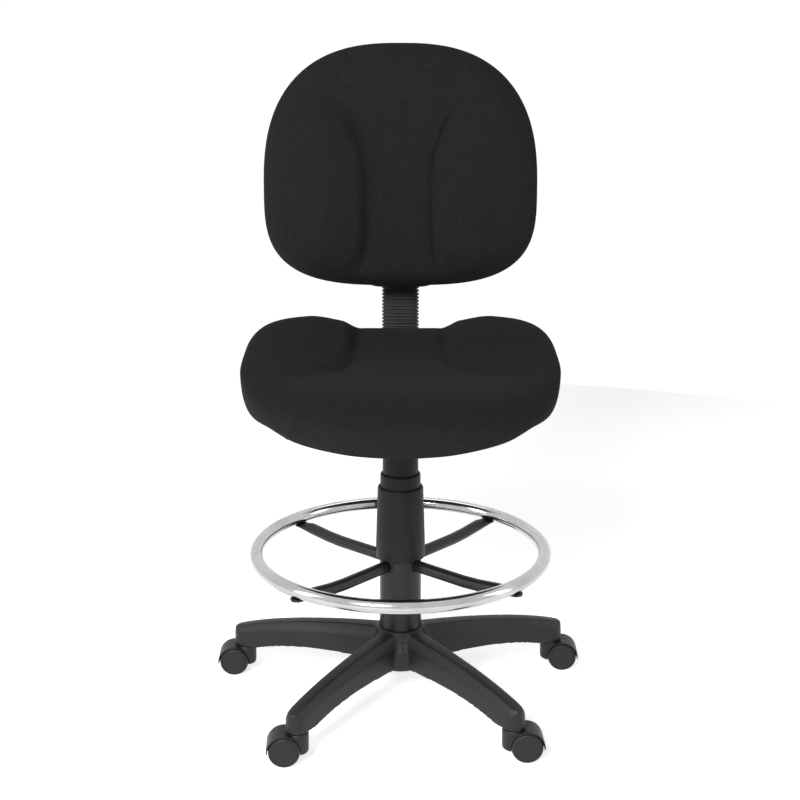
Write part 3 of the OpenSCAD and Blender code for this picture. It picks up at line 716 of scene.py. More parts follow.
def hood_mesh(sizes):
    """One caster body around its stem: an upright boss, a web and a fender over both wheels, trailing +X."""
    trail, wheel = sizes.trail, sizes.wheel
    shapes = Builder()
    boss = rounded([(0, 17 * MM), (17.4 * MM, 17 * MM), (18 * MM, 53.2 * MM), (0, 53.2 * MM)], 5 * MM)
    shapes.add(lathe(boss, 72))
    outer, inner, half = 28.4 * MM, 26.3 * MM, 22.4 * MM
    rings = []
    for k in range(37):
        a = math.radians(-6 + 132 * k / 36)
        c, s = math.cos(a), math.sin(a)
        section = [(inner, -half), (outer - 1.2 * MM, -half), (outer, -half + 1.6 * MM), (outer, half - 1.6 * MM),
                   (outer - 1.2 * MM, half), (inner, half)]
        rings.append([(trail + r * c, y, wheel + r * s) for r, y in section])
    shapes.add(loft(rings))
    web = [(0, -4.6 * MM), (26.6 * MM, -4.6 * MM), (26.6 * MM, 4.6 * MM), (0, 4.6 * MM)]
    onto_axle = Matrix.Translation((trail, 0, wheel)) @ Matrix.Rotation(math.radians(90), 4, "X")
    web_points, web_faces = lathe(web, 72)
    shapes.add(([(onto_axle @ Vector(p)) for p in web_points], web_faces))
    piece = new_object("hood_work", shapes.mesh("hood_work"))
    moulded(piece, 1.15 * MM, 3)
    cutters = Builder()
    for side in (-1, 1):
        low, high = sorted((side * 5.4 * MM, side * 40 * MM))
        points, faces = lathe([(0, low), (26.1 * MM, low), (26.1 * MM, high), (0, high)], 96)
        cutters.add(([(onto_axle @ Vector(p)) for p in points], faces))
    cutters.add(box_shape((trail - 40 * MM, -40 * MM, -10 * MM), (trail + 60 * MM, 40 * MM, 7.5 * MM)))
    cutters.add(box_shape((trail + 2 * MM, -40 * MM, -10 * MM), (trail + 60 * MM, 40 * MM, 21 * MM)))
    cutter = new_object("hood_cutter", cutters.mesh("hood_cutter"))
    cut = piece.modifiers.new("wheel room", "BOOLEAN")
    cut.operation = "DIFFERENCE"
    cut.solver = "EXACT"
    cut.use_self = True
    cut.object = cutter
    apply_modifiers(piece)
    bpy.data.objects.remove(cutter)
    mesh = piece.data
    mesh.name = "caster_hood_shape"
    bpy.data.objects.remove(piece)
    smooth_by_angle(mesh, 38)
    return mesh


def smooth_by_angle(mesh, degrees):
    """Smooth shading that keeps creases sharper than the angle."""
    work = bmesh.new()
    work.from_mesh(mesh)
    limit = math.radians(degrees)
    for edge in work.edges:
        edge.smooth = edge.is_manifold and edge.calc_face_angle(0.0) < limit
    for face in work.faces:
        face.smooth = True
    work.to_mesh(mesh)
    work.free()


def wheel_mesh(sizes, side):
    """A wheel about the Y axis of its caster: rounded tread, a groove and a gently domed cap."""
    profile = [
        (3.05, 0), (12, 0), (12, 1.2), (20, 1.2), (20, 0), (23.6, 0), (24.6, 0.5), (25, 1.6), (25, 9.6), (24.75, 11.2),
        (24.1, 12.5), (23.0, 13.5), (21.6, 14.0), (20.9, 14.05), (20.5, 13.5), (20.1, 13.9), (17, 14.2),
        (10, 14.4), (0.0, 14.45),
    ]
    points, faces = lathe([(r * MM, h * MM) for r, h in profile], 96)
    turn = Matrix.Rotation(math.radians(90 if side < 0 else -90), 4, "X")
    place = Matrix.Translation((sizes.trail, side * 8 * MM, sizes.wheel)) @ turn
    mesh = Builder().add((points, faces), place).mesh("caster_wheel_shape")
    smooth_by_angle(mesh, 28)
    return mesh


def caster_place(sizes, i):
    """Where caster i stands, turned the way it trails. The place comes from its own CAD boss and axle."""
    low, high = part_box(f"caster_axle_{i}")
    axle = (low + high) / 2
    a = sizes.first_arm + math.radians(72 * (i - 1))
    stem = Vector((sizes.stem_circle * math.cos(a), sizes.stem_circle * math.sin(a), 0))
    trail = axle - stem
    return Matrix.Translation(stem) @ Matrix.Rotation(math.atan2(trail.y, trail.x), 4, "Z")


def casters(sizes):
    hood = hood_mesh(sizes)
    wheels = {"right": wheel_mesh(sizes, -1), "left": wheel_mesh(sizes, 1)}
    for i in CASTERS:
        place = caster_place(sizes, i)
        piece = new_object(f"caster_hood_moulding_{i}", hood)
        piece.matrix_world = place
        finish_piece(piece, finish("nylon"), f"caster_{i}", [f"caster_hood_{i}"])
        for side, mesh in wheels.items():
            wheel = new_object(f"caster_{side}_wheel_{i}", mesh)
            wheel.matrix_world = place
            finish_piece(wheel, finish("wheels"), f"{side}_wheel_{i}", [f"wheel_{side}_{i}"])


# ---------------------------------------------------------------- footring and sleeve


def footring(sizes):
    """The chrome ring: one bent tube with the faint bead of its butt weld at the back."""
    rings, count = [], 300
    for k in range(count + 1):
        a = math.tau * k / count + math.radians(100)
        from_weld = abs(((k / count + 0.5) % 1.0) - 0.5) * math.tau * sizes.ring
        radius = sizes.ring_tube + 0.35 * MM * math.exp(-((from_weld / (2.2 * MM)) ** 2))
        rings.append([
            ((sizes.ring + radius * math.cos(math.tau * j / 48)) * math.cos(a),
             (sizes.ring + radius * math.cos(math.tau * j / 48)) * math.sin(a),
             sizes.ring_height + radius * math.sin(math.tau * j / 48)) for j in range(48)])
    points, faces = loft(rings, cap_start=False, cap_end=False)
    piece = new_object("footring_tube", Builder().add((points, faces)).mesh("footring_tube"))
    weld_close(piece.data)
    return finish_piece(piece, finish("chrome"), "foot_support", ["footring"])


def weld_close(mesh):
    work = bmesh.new()
    work.from_mesh(mesh)
    bmesh.ops.remove_doubles(work, verts=work.verts, dist=1e-6)
    bmesh.ops.recalc_face_normals(work, faces=work.faces)
    work.to_mesh(mesh)
    work.free()


def spokes(sizes):
    """Four tubes from the sleeve, each pressed flat under the ring, with a weld bead at its root."""
    shapes = Builder()
    top = sizes.ring_height - sizes.ring_tube
    middle = top - sizes.spoke
    for k in range(4):
        turn = Matrix.Rotation(sizes.first_spoke + math.radians(90 * k), 4, "Z")
        rings = []
        for r in [33, 60, 100, 140, 170, 190, 204, 210, 216, 221, 226, 231, 236, 241, 246, 250, 252.5,
                  253.8, 254.3]:
            flat = smooth(r, 208, 240)
            half_w = blend(10, 13.2, flat)
            half_h = blend(10, 2.0, flat)
            centre = blend(middle / MM, top / MM - 2.05, smooth(r, 140, 240))
            if r > 241:
                half_w *= math.sqrt(max(0.02, 1 - ((r - 241) / 13.4) ** 2))
            power = blend(2.0, 3.2, flat)
            ring = [oval(j / 32, half_w, half_h, half_h, power) for j in range(32)]
            rings.append([(r * MM, y * MM, (centre + z) * MM) for y, z in ring])
        shapes.add(loft(rings), turn)
        bead = []
        for j in range(49):
            a = math.tau * j / 48
            lump = 1.7 + 0.35 * math.sin(a * 13) + 0.2 * math.sin(a * 7 + k)
            sleeve_x = math.sqrt(max(0.0, 35.2 ** 2 - (11 * math.cos(a)) ** 2)) + 0.6
            centre = Vector((sleeve_x, 11 * math.cos(a), 11 * math.sin(a)))
            axis, forward, lift = Vector((0, math.cos(a), math.sin(a))), Vector((1, 0, 0)), Vector((0, 0, middle))
            turns = [math.tau * m / 10 for m in range(10)]
            bead.append([tuple((centre + axis * lump * math.cos(b) + forward * lump * math.sin(b)) * MM + lift)
                         for b in turns])
        shapes.add(loft(bead, cap_start=False, cap_end=False), turn)
    piece = new_object("footring_spoke_tubes", shapes.mesh("footring_spoke_tubes"))
    return finish_piece(piece, finish("coat"), "foot_support", ["footring_spokes"])


def ring_screws(sizes):
    """Pan-head screws under the ring, each with a cross recess, over a spring washer."""
    shapes = Builder()
    seat = sizes.ring_height - sizes.ring_tube - 4.1 * MM
    profile = [(0, 2.3), (1.6, 2.3), (1.9, 1.2), (3.8, 1.0), (4.7, 1.7), (5.1, 2.6), (5.1, 3.3), (6.0, 3.4),
               (6.0, 4.1), (0, 4.1)]
    head = lathe([(r * MM, (z - 4.1) * MM) for r, z in profile], 40)
    slot = [box_shape((-2.8 * MM, -0.5 * MM, -3.15 * MM), (2.8 * MM, 0.5 * MM, -2.4 * MM)),
            box_shape((-0.5 * MM, -2.8 * MM, -3.15 * MM), (0.5 * MM, 2.8 * MM, -2.4 * MM))]
    for k in range(4):
        turn = Matrix.Rotation(sizes.first_spoke + math.radians(90 * k), 4, "Z")
        place = turn @ Matrix.Translation((sizes.ring, 0, seat))
        shapes.add(head, place)
        for bar in slot:
            shapes.add(bar, place)
    piece = new_object("footring_screw_heads", shapes.mesh("footring_screw_heads"))
    smooth_by_angle(piece.data, 35)
    return finish_piece(piece, finish("steel"), "foot_support", ["ring_screws"])


def sleeve(sizes):
    """The powder-coated sleeve that carries the ring, flared a little where it rests on the hub."""
    low = sizes.hub_top / MM + 0.25
    profile = rounded([(33, low), (35.9, low), (35.6, low + 10), (35.1, low + 45), (35.0, 283.6), (33, 283.6)], 0.8)
    piece = new_object("footring_sleeve", Builder().add(
        lathe([(r * MM, z * MM) for r, z in profile] + [(33 * MM, low * MM)], 128)).mesh("footring_sleeve"))
    smooth_by_angle(piece.data, 40)
    return finish_piece(piece, finish("coat"), "foot_support", ["ring_sleeve"])


# ---------------------------------------------------------------- column covers


def cover(name, profile, body, node):
    shape = lathe([(r * MM, z * MM) for r, z in profile], 128)
    piece = new_object(name, Builder().add(shape).mesh(name))
    smooth_by_angle(piece.data, 32)
    return finish_piece(piece, finish("covers"), body, [node])


def column_covers():
    """Three telescoping covers with turned-in rims; each lower one is wider."""
    lower = rounded([(37.4, 272.2), (41.2, 272.0), (41.6, 274.5), (41.3, 300), (39.7, 350), (38.6, 384),
                     (38.4, 393.4), (37.2, 396.2), (34.9, 396.2), (34.7, 393.5), (36.2, 391)], 0.9, 3)
    cover("cover_lower_moulding", lower + [(36.9, 350), (37.4, 272.2)], "foot_support", "cover_lower")
    middle = rounded([(32.1, 286.3), (33.9, 286.3), (33.95, 330), (33.8, 416.4), (32.7, 419.1), (30.9, 419.1),
                      (30.7, 416.6), (31.9, 414)], 0.8, 3)
    cover("cover_middle_moulding", middle + [(32.1, 286.3)], "middle_cover", "cover_middle")
    upper = rounded([(27.6, 330.3), (30.3, 330.3), (30.5, 334), (30.1, 400), (29.4, 474), (28.4, 478.6),
                     (27.0, 478.6)], 0.8, 3)
    cover("cover_upper_moulding", upper + [(27.0, 470), (27.6, 330.3)], "seat", "cover_upper")


# ---------------------------------------------------------------- seat


# Distance of the seat's sewn crease from the middle, and the width of the step beside it, by place along Y.
SEAT_CREASE = ((-75, 150), (-45, 116), (-15, 92), (30, 79), (70, 76), (120, 76), (200, 72))
SEAT_STEP = ((-80, 70), (-20, 34), (30, 22), (130, 20), (200, 34))
# The same for the backrest, by height from its widest line.
BACK_CREASE = ((-160, 76), (-130, 66), (-77, 57), (-2, 56), (54, 60), (100, 74), (142, 97), (172, 130),
               (215, 190))


def crease_side(y, stops):
    """Distance of a sewn crease from the middle, in millimetres, at a place along the seat or back."""
    return along(stops, y)


def seat_top(x, y):
    """Height of the seat's upper surface in millimetres: a scooped middle between two raised rear lobes."""
    middle = along([(-250, 580), (-215, 590), (-150, 598), (-60, 600), (20, 603), (90, 611), (160, 622),
                    (225, 628)], y)
    raised = along([(-250, 584), (-150, 600), (-60, 609), (20, 628), (90, 648), (150, 655), (190, 653),
                    (225, 643)], y)
    from_crease = abs(x) - crease_side(y, SEAT_CREASE)
    lobe = 0.42 * smooth(from_crease, -3, along(SEAT_STEP, y)) + 0.58 * smooth(from_crease, 0, 88)
    sewn = smooth(y, -75, -15) * (1 - smooth(y, 175, 215))
    groove = 2.6 * sewn * math.exp(-((from_crease / 4.5) ** 2))
    return blend(middle, raised, lobe) - groove


def seat_cushion(sizes):
    """The seat: a closed foam form rolled over every edge, with two sewn creases beside the scoop."""
    around, across = 320, 84
    outline = [(x / MM, y / MM + sizes.middle / MM)
               for x, y in even_oval(around, sizes.half_width, sizes.rear, sizes.front, 3.33, 2.58)]
    centre_y = sizes.middle / MM
    low = sizes.rim / MM
    rings = []
    for k in range(across + 1):
        s = math.sin(math.pi / 2 * k / across)
        ring = []
        for ox, oy in outline:
            x, y = ox * s, centre_y + (oy - centre_y) * s
            reach = math.hypot(ox, oy - centre_y)
            facing = (oy - centre_y) / reach
            roll = blend(88, 92, smooth(-facing, 0.3, 0.95))
            roll = blend(roll, 44, smooth(facing, 0.5, 0.95))
            inward = clamp((1 - s) * reach / roll)
            rise = (1 - (1 - inward) ** 2.7) ** (1 / 2.7)
            waist = blend(597, 552, smooth(-facing, 0.3, 0.95)) + 3 * smooth(facing, 0.2, 0.9)
            ring.append((x, y, waist + (seat_top(x, y) - waist) * rise))
        rings.append(ring)
    top_count = len(rings)
    for k in range(1, 15):
        t = k / 14
        ring = []
        for i, (ox, oy) in enumerate(outline):
            reach = math.hypot(ox, oy - centre_y)
            facing = (oy - centre_y) / reach
            edge_z = rings[top_count - 1][i][2]
            front_rim = along([(0, 0), (60, 2), (122, 8), (170, 14.7), (215, 25.6), (262, 20.6)], abs(ox))
            rim = low + blend(front_rim - 4.5, 12.2, smooth(facing, -0.2, 0.6))
            inset = blend(21, 13, smooth(facing, -0.6, 0.2)) * (1 - math.cos(math.pi / 2 * t))
            z = edge_z - (edge_z - rim) * math.sin(math.pi / 2 * t)
            s = 1 - inset / reach
            ring.append((ox * s, centre_y + (oy - centre_y) * s, z))
        rings.append(ring)
    for inset, drop in ((23, 0.3), (26, 2.2), (28, 9.0)):
        ring = []
        for i, (ox, oy) in enumerate(outline):
            s = 1 - inset / math.hypot(ox, oy - centre_y)
            ring.append((ox * s, centre_y + (oy - centre_y) * s, rings[top_count + 13][i][2] + drop))
        rings.append(ring)
    rings.append([(ox * 0.6, centre_y + (oy - centre_y) * 0.6, 543) for ox, oy in outline])
    scaled_rings = [[(x * MM, y * MM, z * MM) for x, y, z in ring] for ring in rings]
    points, faces = loft(scaled_rings[1:], cap_start=False, cap_end=True)
    points.append((0, sizes.middle, seat_top(0, centre_y) * MM))
    pole = len(points) - 1
    faces += [(pole, i, (i + 1) % around) for i in range(around)]
    piece = new_object("seat_upholstery", Builder().add((points, faces)).mesh("seat_upholstery"))
    return piece


def back_front(x, z):
    """Thickness of the backrest's padding in millimetres, at x across and z up from its widest line."""
    hollow = along([(-165, 52), (-100, 45), (0, 42), (90, 43), (160, 47), (250, 42)], z)
    from_crease = abs(x) - crease_side(z, BACK_CREASE)
    depth = 22 * smooth(z, -160, -95) * (1 - smooth(z, 85, 200))
    step = along([(-160, 50), (-110, 22), (0, 17), (80, 20), (150, 50), (215, 90)], z)
    lobe = 0.6 * smooth(from_crease, -2, step) + 0.4 * smooth(from_crease, 0, 80)
    groove = 3.6 * smooth(z, -150, -105) * (1 - smooth(z, 110, 180)) * math.exp(-((from_crease / 5.0) ** 2))
    sides = 14 * smooth(abs(x), 120, 250)
    return hollow + depth * lobe - groove - sides


def leaning(sizes):
    """From the backrest's own frame, X across, Y up the back and Z forwards, to the chair's."""
    return Matrix.Translation((0, sizes.back_place, sizes.back_height)) @ Matrix.Rotation(
        math.radians(90) - sizes.back_lean, 4, "X")


def back_cushion(sizes):
    """The backrest's padding: a flat channel between two lobes, rolled over its rim to the shell."""
    around, across = 300, 80
    outline = []
    for x, y in even_oval(around, sizes.back_half_width, sizes.back_up, sizes.back_down, 2.57, 3.2):
        outline.append((x / MM, y / MM))
    rings = []
    for k in range(across + 1):
        s = math.sin(math.pi / 2 * k / across)
        ring = []
        for ox, oy in outline:
            x, y = ox * s, oy * s
            reach = math.hypot(ox, oy)
            inward = clamp((1 - s) * reach / 47.5)
            rise = (1 - (1 - inward) ** 2.33) ** (1 / 2.33)
            edge = 12.0
            ring.append((x, y, edge + (back_front(x, y) - edge) * rise))
        rings.append(ring)
    for k in range(1, 11):
        t = k / 10
        ring = []
        for ox, oy in outline:
            reach = math.hypot(ox, oy)
            s = 1 - 11 * (1 - math.cos(math.pi / 2 * t)) / reach
            ring.append((ox * s, oy * s, 12 - 18 * math.sin(math.pi / 2 * t)))
        rings.append(ring)
    rings.append([(ox * 0.5, oy * 0.5, -6) for ox, oy in outline])
    scaled_rings = [[(x * MM, y * MM, z * MM) for x, y, z in ring] for ring in rings]
    points, faces = loft(scaled_rings[1:], cap_start=False, cap_end=True)
    points.append((0, 0, back_front(0, 0) * MM))
    pole = len(points) - 1
    faces += [(pole, i, (i + 1) % around) for i in range(around)]
    mesh = Builder().add((points, faces), leaning(sizes)).mesh("back_upholstery")
    return new_object("back_upholstery", mesh)


def back_shell(sizes):
    """The shell behind the backrest: a shallow dish with a raised spine over the bracket, open below."""
    around = 200
    rim = even_oval(around, sizes.back_half_width, sizes.back_up, sizes.back_down, 2.57, 3.2)
    outline = [(x / MM, y / MM) for x, y in rim]
    rings = []
    for k in range(25):
        s = math.sin(math.pi / 2 * k / 24)
        ring = []
        for ox, oy in outline:
            reach = math.hypot(ox, oy)
            s_in = 1 - 9 / reach
            inward = clamp((1 - s) * reach / 60)
            rise = (1 - (1 - inward) ** 2.2) ** (1 / 2.2)
            ring.append((ox * s * s_in, oy * s * s_in, -(8 + 17.5 * rise)))
        rings.append(ring)
    shrinks = [1 - 9 / math.hypot(ox, oy) for ox, oy in outline]
    rings.append([(ox * shrink, oy * shrink, -3.5) for (ox, oy), shrink in zip(outline, shrinks)])
    dish = [[(x * MM, y * MM, z * MM) for x, y, z in ring] for ring in rings]
    shapes = Builder()
    points, faces = loft(dish[1:], cap_start=False, cap_end=True)
    points.append((0, 0, dish[0][0][2]))
    faces += [(len(points) - 1, (i + 1) % around, i) for i in range(around)]
    shapes.add((points, faces), leaning(sizes))
    spine = []
    for z in [697.5, 699, 704, 720, 760, 800, 835, 860, 880, 893, 900, 904]:
        t = smooth(z, 830, 904)
        half_w = 55.5 - 12 * t
        back = 282.5 - 26 * t - 1.5 * smooth(z, 704, 697)
        ring = []
        for j in range(40):
            x, y = oval(j / 40, half_w, 1, 1, 3.6)
            depth = back - 240
            ring.append((x * MM, (240 + depth * y) * MM, z * MM))
        spine.append(ring)
    shapes.add(loft(spine))
    piece = new_object("back_shell_moulding", shapes.mesh("back_shell_moulding"))
    moulded(piece, 2.6 * MM, 8)
    cutters = Builder()
    cutters.add(box_shape((-0.0355, 0.2465, 0.60), (0.0355, 0.2778, 0.853)))
    hole = lathe([(0, 0), (9.2 * MM, 0), (9.2 * MM, 40 * MM), (0, 40 * MM)], 48)
    cutters.add(hole, Matrix.Translation((0, 0.262, 0.765)) @ Matrix.Rotation(math.radians(-90), 4, "X"))
    cutter = new_object("shell_cutter", cutters.mesh("shell_cutter"))
    cut = piece.modifiers.new("room for the bar", "BOOLEAN")
    cut.operation, cut.solver, cut.object = "DIFFERENCE", "EXACT", cutter
    cut.use_self = True
    apply_modifiers(piece)
    bpy.data.objects.remove(cutter)
    smooth_by_angle(piece.data, 40)
    return finish_piece(piece, finish("shell"), "backrest", ["back_shell"])


# Place of the upright bar along Y, the squareness of its boot and the height of one fold, in millimetres.
BAR_Y = 262
BOOT_POWER = 3.4
BOOT_FOLD = 6.3


def bellows(lower_z, upper_z, pitch):
    """The ribbed boot: rounded folds around the bar."""
    rings, count = [], int(round((upper_z - lower_z) / pitch))
    for fold in range(count):
        for part, grow in ((0.0, 0.0), (0.16, 0.12), (0.34, 0.86), (0.5, 1.0), (0.66, 0.86), (0.84, 0.12)):
            z = lower_z + (fold + part) * pitch
            half_w, half_d = 30.7 + 3.0 * grow, 9.8 + 4.6 * grow
            rings.append(flat_ring(half_w, half_d, BOOT_POWER, BAR_Y, z))
    inner = [flat_ring(30.35, 8.8, BOOT_POWER, BAR_Y, z) for z in (upper_z, (lower_z + upper_z) / 2, lower_z)]
    points, faces = loft(rings + inner, cap_start=False, cap_end=False)
    count = 72
    last = (len(rings) + len(inner) - 1) * count
    faces += [(last + i, last + (i + 1) % count, (i + 1) % count, i) for i in range(count)]
    return Builder().add((points, faces)).mesh("bar_bellows")


# ---------------------------------------------------------------- mechanism


def hand_knob(name, high_z, turn, body, node):
    """A six-lobed clamp knob on its threaded stem."""
    rings = []
    for r_scale, h in ((0.0, 0.0), (0.55, -0.2), (0.86, 0.3), (0.97, 1.6), (1.0, 4.0), (0.99, 11.5),
                       (0.93, 14.8), (0.78, 16.2), (0.5, 16.6), (0.47, 16.7), (0.44, 21.5)):
        ring = []
        for j in range(96):
            a = math.tau * j / 96
            lobes = 1 - 0.13 * (0.5 - 0.5 * math.cos(6 * a)) ** 2 * smooth(r_scale, 0.5, 0.9)
            r = max(0.05, 18.4 * r_scale * lobes)
            ring.append((r * math.cos(a) * MM, r * math.sin(a) * MM, h * MM))
        rings.append(ring)
    stem = []
    for k in range(50):
        r = 3.9 - 0.35 * (k % 2)
        stem.append(round_ring(r, 21 + k * 0.6, 24))
    shapes = Builder().add(loft(rings), turn).add(loft(stem[:high_z]), turn)
    piece = new_object(name, shapes.mesh(name))
    smooth_by_angle(piece.data, 42)
    return finish_piece(piece, finish("covers"), body, [node])


def lever_paddle():
    """The moulded grip at the end of the height lever, waisted for two fingers."""
    place = Matrix.Translation((-0.056, 0, 0.5095)) @ Matrix.Rotation(math.radians(-102), 4, "Y")
    rings = []
    sections = ((60.5, 5.2, 5.0), (62, 6.4, 5.6), (66, 7.2, 5.8), (71, 8.4, 5.4), (77, 11.6, 4.9),
                (86, 14.2, 4.6), (98, 13.6, 4.2), (108, 13.4, 4.1), (118, 14.6, 4.3), (127, 14.4, 4.5),
                (133, 12.2, 4.4), (136.6, 8.6, 3.8), (138.6, 4.4, 2.6), (139, 1.5, 1.2))
    for along_lever, half_w, half_t in sections:
        ring = [oval(j / 48, half_t, half_w, half_w, 2.7) for j in range(48)]
        rings.append([(x * MM, y * MM, along_lever * MM) for x, y in ring])
    piece = new_object("lever_grip", Builder().add(loft(rings), place).mesh("lever_grip"))
    sub = piece.modifiers.new("round", "SUBSURF")
    sub.levels = sub.render_levels = 1
    apply_modifiers(piece)
    return finish_piece(piece, finish("covers"), "lever", ["lever_paddle"])


def coat_frame_nodes():
    """Gives the inner and metal pieces of the frame their finishes, with softened edges on the folded ones."""
    plan = {
        "steel": ["caster_stems", "tube_clip", "piston_rod", "thrust_bearing", "housing_bolts", "lever_pin", "lever_rod",
                  "bracket_screws"] + [f"caster_axle_{i}" for i in CASTERS],
        "coat": ["gas_tube", "gas_cylinder", "mechanism_housing", "back_bar"],
        "bush": ["guide_bush", "sleeve_bushes"],
        "vinyl": ["piston_head"],
        "wood": ["seat_board", "back_board"],
        "shell": ["back_bracket", "seat_shell"],
        "button": ["valve_button"],
    }
    for name, members in plan.items():
        for member in members:
            node = nodes[member]
            node.data.materials.clear()
            node.data.materials.append(finish(name))
    for member, width in (("mechanism_housing", 1.4), ("seat_shell", 1.0), ("back_bar", 0.9)):
        soft_edges(nodes[member], width * MM)


def seat_pan(sizes):
    """The moulding under the seat: a shallow tray with a rolled rim, open over the mechanism."""
    turns = [j / 160 for j in range(160)]
    centre_y = sizes.middle / MM

    def ring(scale, z, lift=0.0):
        made = []
        for t in turns:
            x, y = oval(t, 263, 168, 304, 3.33, 2.58)
            made.append((x * scale * MM, (y * scale + centre_y) * MM, (z + lift) * MM))
        return made

    def opening(grow, z):
        return [(x * MM, (y + centre_y) * MM, z * MM) for x, y in
                [oval(t, 97 + grow, 108 + grow, 156 + grow, 9) for t in turns]]

    rings = [opening(0, 524), opening(5, 524), ring(0.70, 524), ring(0.80, 524.2), ring(0.855, 525.6), ring(0.88, 529),
             ring(0.893, 534), ring(0.898, 540.7), ring(0.886, 540.7), ring(0.88, 533), ring(0.865, 529),
             ring(0.83, 527.2), ring(0.72, 527), opening(5, 527), opening(3, 535), opening(0, 535)]
    points, faces = loft(rings + [rings[0]], cap_start=False, cap_end=False)
    piece = new_object("seat_pan_moulding", Builder().add((points, faces)).mesh("seat_pan_moulding"))
    weld_close(piece.data)
    smooth_by_angle(piece.data, 40)
    return finish_piece(piece, finish("shell"), "seat", ["seat_shell"])


# ---------------------------------------------------------------- stage


FLOOR_RADIUS = 2.3


def floor_finish():
    floor = Finish("pale_floor", Specular_IOR_Level=0.0, Emission_Color=(1, 1, 1, 1), Emission_Strength=0.75)
    mottle = floor.noise(3.0, 3.0, 0.5)
    shade = floor.between(mottle, 0.0, 1.0)
    floor.feed("Base Color", floor.colours(shade, (0.86, 0.86, 0.86), (0.88, 0.88, 0.88)))
    floor.feed("Roughness", floor.between(mottle, 0.85, 0.95))
    return floor.material


def lamp(name, place, target, size, power):
    light = bpy.data.lights.new(name, "AREA")
    light.shape = "RECTANGLE"
    light.size, light.size_y = size
    light.energy = power
    lamp_object = bpy.data.objects.new(name, light)
    bpy.context.scene.collection.objects.link(lamp_object)
    lamp_object.location = place
    lamp_object.rotation_euler = (Vector(target) - Vector(place)).to_track_quat("-Z", "Y").to_euler()
    return lamp_object


def studio():
    """A pale floor under soft boxes, and the camera in front of the chair at standing eye height."""
    disc = round_ring(FLOOR_RADIUS / MM, 0, 96)
    floor = new_object("floor", mesh_from("floor", disc, [tuple(range(96))], False))
    floor.location.z = 0
    floor.data.materials.append(floor_finish())
    lamp("key box", (-1.25, -3.2, 2.45), (0, 0, 0.6), (1.2, 0.9), 140)
    lamp("left box", (-3.0, -0.9, 1.5), (0, 0, 0.5), (0.7, 2.2), 26)
    lamp("right box", (3.0, -0.7, 1.5), (0, 0, 0.5), (0.7, 2.2), 22)
    lamp("top box", (0, 1.2, 3.2), (0, 0.3, 0.3), (2.2, 1.4), 14)
    world = bpy.data.worlds.new("studio")
    world.use_nodes = True
    background = world.node_tree.nodes["Background"].inputs
    background["Color"].default_value = (1, 1, 1, 1)
    background["Strength"].default_value = 1.02
    world.cycles_visibility.diffuse = False
    scene = bpy.context.scene
    scene.world = world
    scene.view_settings.view_transform = "Standard"
    lens = bpy.data.cameras.new("camera")
    lens.lens = 59.15
    lens.sensor_width = 36
    lens.shift_x = -0.0006
    camera = bpy.data.objects.new("camera", lens)
    scene.collection.objects.link(camera)
    camera.location = (0, -2.096, 1.069)
    camera.rotation_euler = (math.radians(90 - 14.57), 0, 0)
    scene.camera = camera


# ---------------------------------------------------------------- operators


def mix_finishes(shades):
    FINISHES.update({
        "cloth": crepe_cloth("upholstery_cloth", shades.cloth),
        "nylon": sparked_nylon("moulded_nylon", shades.nylon),
        "wheels": smooth_nylon("wheel_nylon", shades.wheels),
        "chrome": ring_chrome("ring_chrome", shades.chrome),
        "coat": powder_coat("powder_coat", shades.coat),
        "steel": bare_steel("bare_steel", (0.55, 0.55, 0.56)),
        "covers": satin_plastic("cover_plastic", shades.covers),
        "shell": grained_plastic("shell_plastic", shades.covers),
        "vinyl": dull_vinyl("boot_vinyl", (0.026, 0.0263, 0.027)),
        "wood": birch_plywood("birch_plywood", (0.60, 0.42, 0.25)),
        "bush": plain_nylon("bush_nylon", (0.78, 0.76, 0.70)),
        "button": plain_nylon("button_nylon", (0.55, 0.04, 0.03)),
    })


class CHAIR_OT_finishes(bpy.types.Operator):
    """Mixes the chair's finishes"""

    bl_idname = "chair.finishes"
    bl_label = "Finishes"

    def execute(self, context):
        mix_finishes(context.scene.chair_colours)
        return {"FINISHED"}


class CHAIR_OT_star_base(bpy.types.Operator):
    """Moulds the five-armed base"""

    bl_idname = "chair.star_base"
    bl_label = "Star base"

    def execute(self, context):
        star_base(context.scene.chair_base)
        return {"FINISHED"}


class CHAIR_OT_casters(bpy.types.Operator):
    """Builds the five twin-wheel casters"""

    bl_idname = "chair.casters"
    bl_label = "Casters"

    def execute(self, context):
        casters(context.scene.chair_base)
        return {"FINISHED"}


class CHAIR_OT_footring(bpy.types.Operator):
    """Bends the footring and builds its spokes, screws and sleeve"""

    bl_idname = "chair.footring"
    bl_label = "Footring"

    def execute(self, context):
        sizes = context.scene.chair_base
        footring(sizes)
        spokes(sizes)
        ring_screws(sizes)
        sleeve(sizes)
        return {"FINISHED"}


class CHAIR_OT_column_covers(bpy.types.Operator):
    """Builds the telescoping column covers"""

    bl_idname = "chair.column_covers"
    bl_label = "Column covers"

    def execute(self, context):
        column_covers()
        return {"FINISHED"}


class CHAIR_OT_seat(bpy.types.Operator):
    """Upholsters the seat and moulds the pan under it"""

    bl_idname = "chair.seat"
    bl_label = "Seat"

    def execute(self, context):
        sizes = context.scene.chair_seat
        cushion = seat_cushion(sizes)
        finish_piece(cushion, finish("cloth"), "seat", ["seat_cushion"])
        seat_pan(sizes)
        return {"FINISHED"}


class CHAIR_OT_backrest(bpy.types.Operator):
    """Upholsters the backrest and moulds the shell behind it"""

    bl_idname = "chair.backrest"
    bl_label = "Backrest"

    def execute(self, context):
        sizes = context.scene.chair_seat
        cushion = back_cushion(sizes)
        finish_piece(cushion, finish("cloth"), "backrest", ["back_cushion"])
        back_shell(sizes)
        return {"FINISHED"}


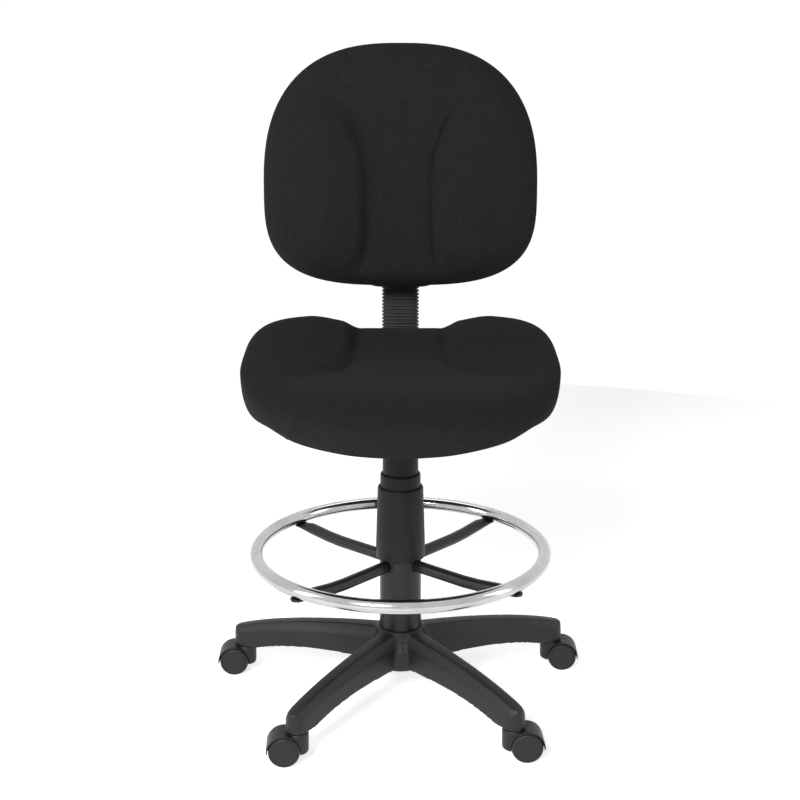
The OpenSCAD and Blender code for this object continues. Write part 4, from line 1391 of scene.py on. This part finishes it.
class CHAIR_OT_bar_boot(bpy.types.Operator):
    """Fits the ribbed boot around the bar, between the seat and the backrest"""

    bl_idname = "chair.bar_boot"
    bl_label = "Bar boot"

    def execute(self, context):
        low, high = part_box("bar_boot")
        folds = bellows((low.z - COLUMN_Z) / MM, (high.z - COLUMN_Z) / MM, BOOT_FOLD)
        boot = new_object("bar_bellows", folds)
        boot.data.materials.append(finish("vinyl"))
        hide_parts("bar_boot")
        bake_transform(boot)
        return {"FINISHED"}


class CHAIR_OT_controls(bpy.types.Operator):
    """Builds the height lever's grip and the two clamp knobs"""

    bl_idname = "chair.controls"
    bl_label = "Controls"

    def execute(self, context):
        lever_paddle()
        hand_knob("depth_clamp_knob", 26, Matrix.Translation((0, 0.1, 0.4572)), "depth_clamp", "depth_knob")
        facing_back = Matrix.Translation((0, 0.3062, 0.765)) @ Matrix.Rotation(math.radians(90), 4, "X")
        hand_knob("height_clamp_knob", 26, facing_back, "height_clamp", "height_knob")
        return {"FINISHED"}


class CHAIR_OT_frame_finishes(bpy.types.Operator):
    """Coats the metal, wooden and inner pieces of the frame"""

    bl_idname = "chair.frame_finishes"
    bl_label = "Frame finishes"

    def execute(self, context):
        coat_frame_nodes()
        return {"FINISHED"}


class CHAIR_OT_studio(bpy.types.Operator):
    """Sets the floor, the lights and the camera"""

    bl_idname = "chair.studio"
    bl_label = "Studio"

    def execute(self, context):
        studio()
        return {"FINISHED"}


STEPS = (CHAIR_OT_finishes, CHAIR_OT_star_base, CHAIR_OT_casters, CHAIR_OT_footring, CHAIR_OT_column_covers,
         CHAIR_OT_seat, CHAIR_OT_backrest, CHAIR_OT_bar_boot, CHAIR_OT_controls, CHAIR_OT_frame_finishes,
         CHAIR_OT_studio)


class CHAIR_PT_steps(bpy.types.Panel):
    """Lists the steps that build the chair"""

    bl_idname = "CHAIR_PT_steps"
    bl_label = "Drafting chair"
    bl_space_type = "VIEW_3D"
    bl_region_type = "UI"
    bl_category = "Chair"

    def draw(self, context):
        for step in STEPS:
            self.layout.operator(step.bl_idname)


GROUPS = {"chair_base": ChairBaseSizes, "chair_seat": ChairSeatSizes, "chair_colours": ChairColours}


def register():
    for item in (*GROUPS.values(), *STEPS, CHAIR_PT_steps):
        bpy.utils.register_class(item)
    for name, group in GROUPS.items():
        setattr(bpy.types.Scene, name, bpy.props.PointerProperty(type=group))


def unregister():
    for name in GROUPS:
        delattr(bpy.types.Scene, name)
    for item in reversed((*GROUPS.values(), *STEPS, CHAIR_PT_steps)):
        bpy.utils.unregister_class(item)


def main():
    register()
    for step in STEPS:
        group, name = step.bl_idname.split(".")
        getattr(getattr(bpy.ops, group), name)()


if __name__ == "__main__":
    main()
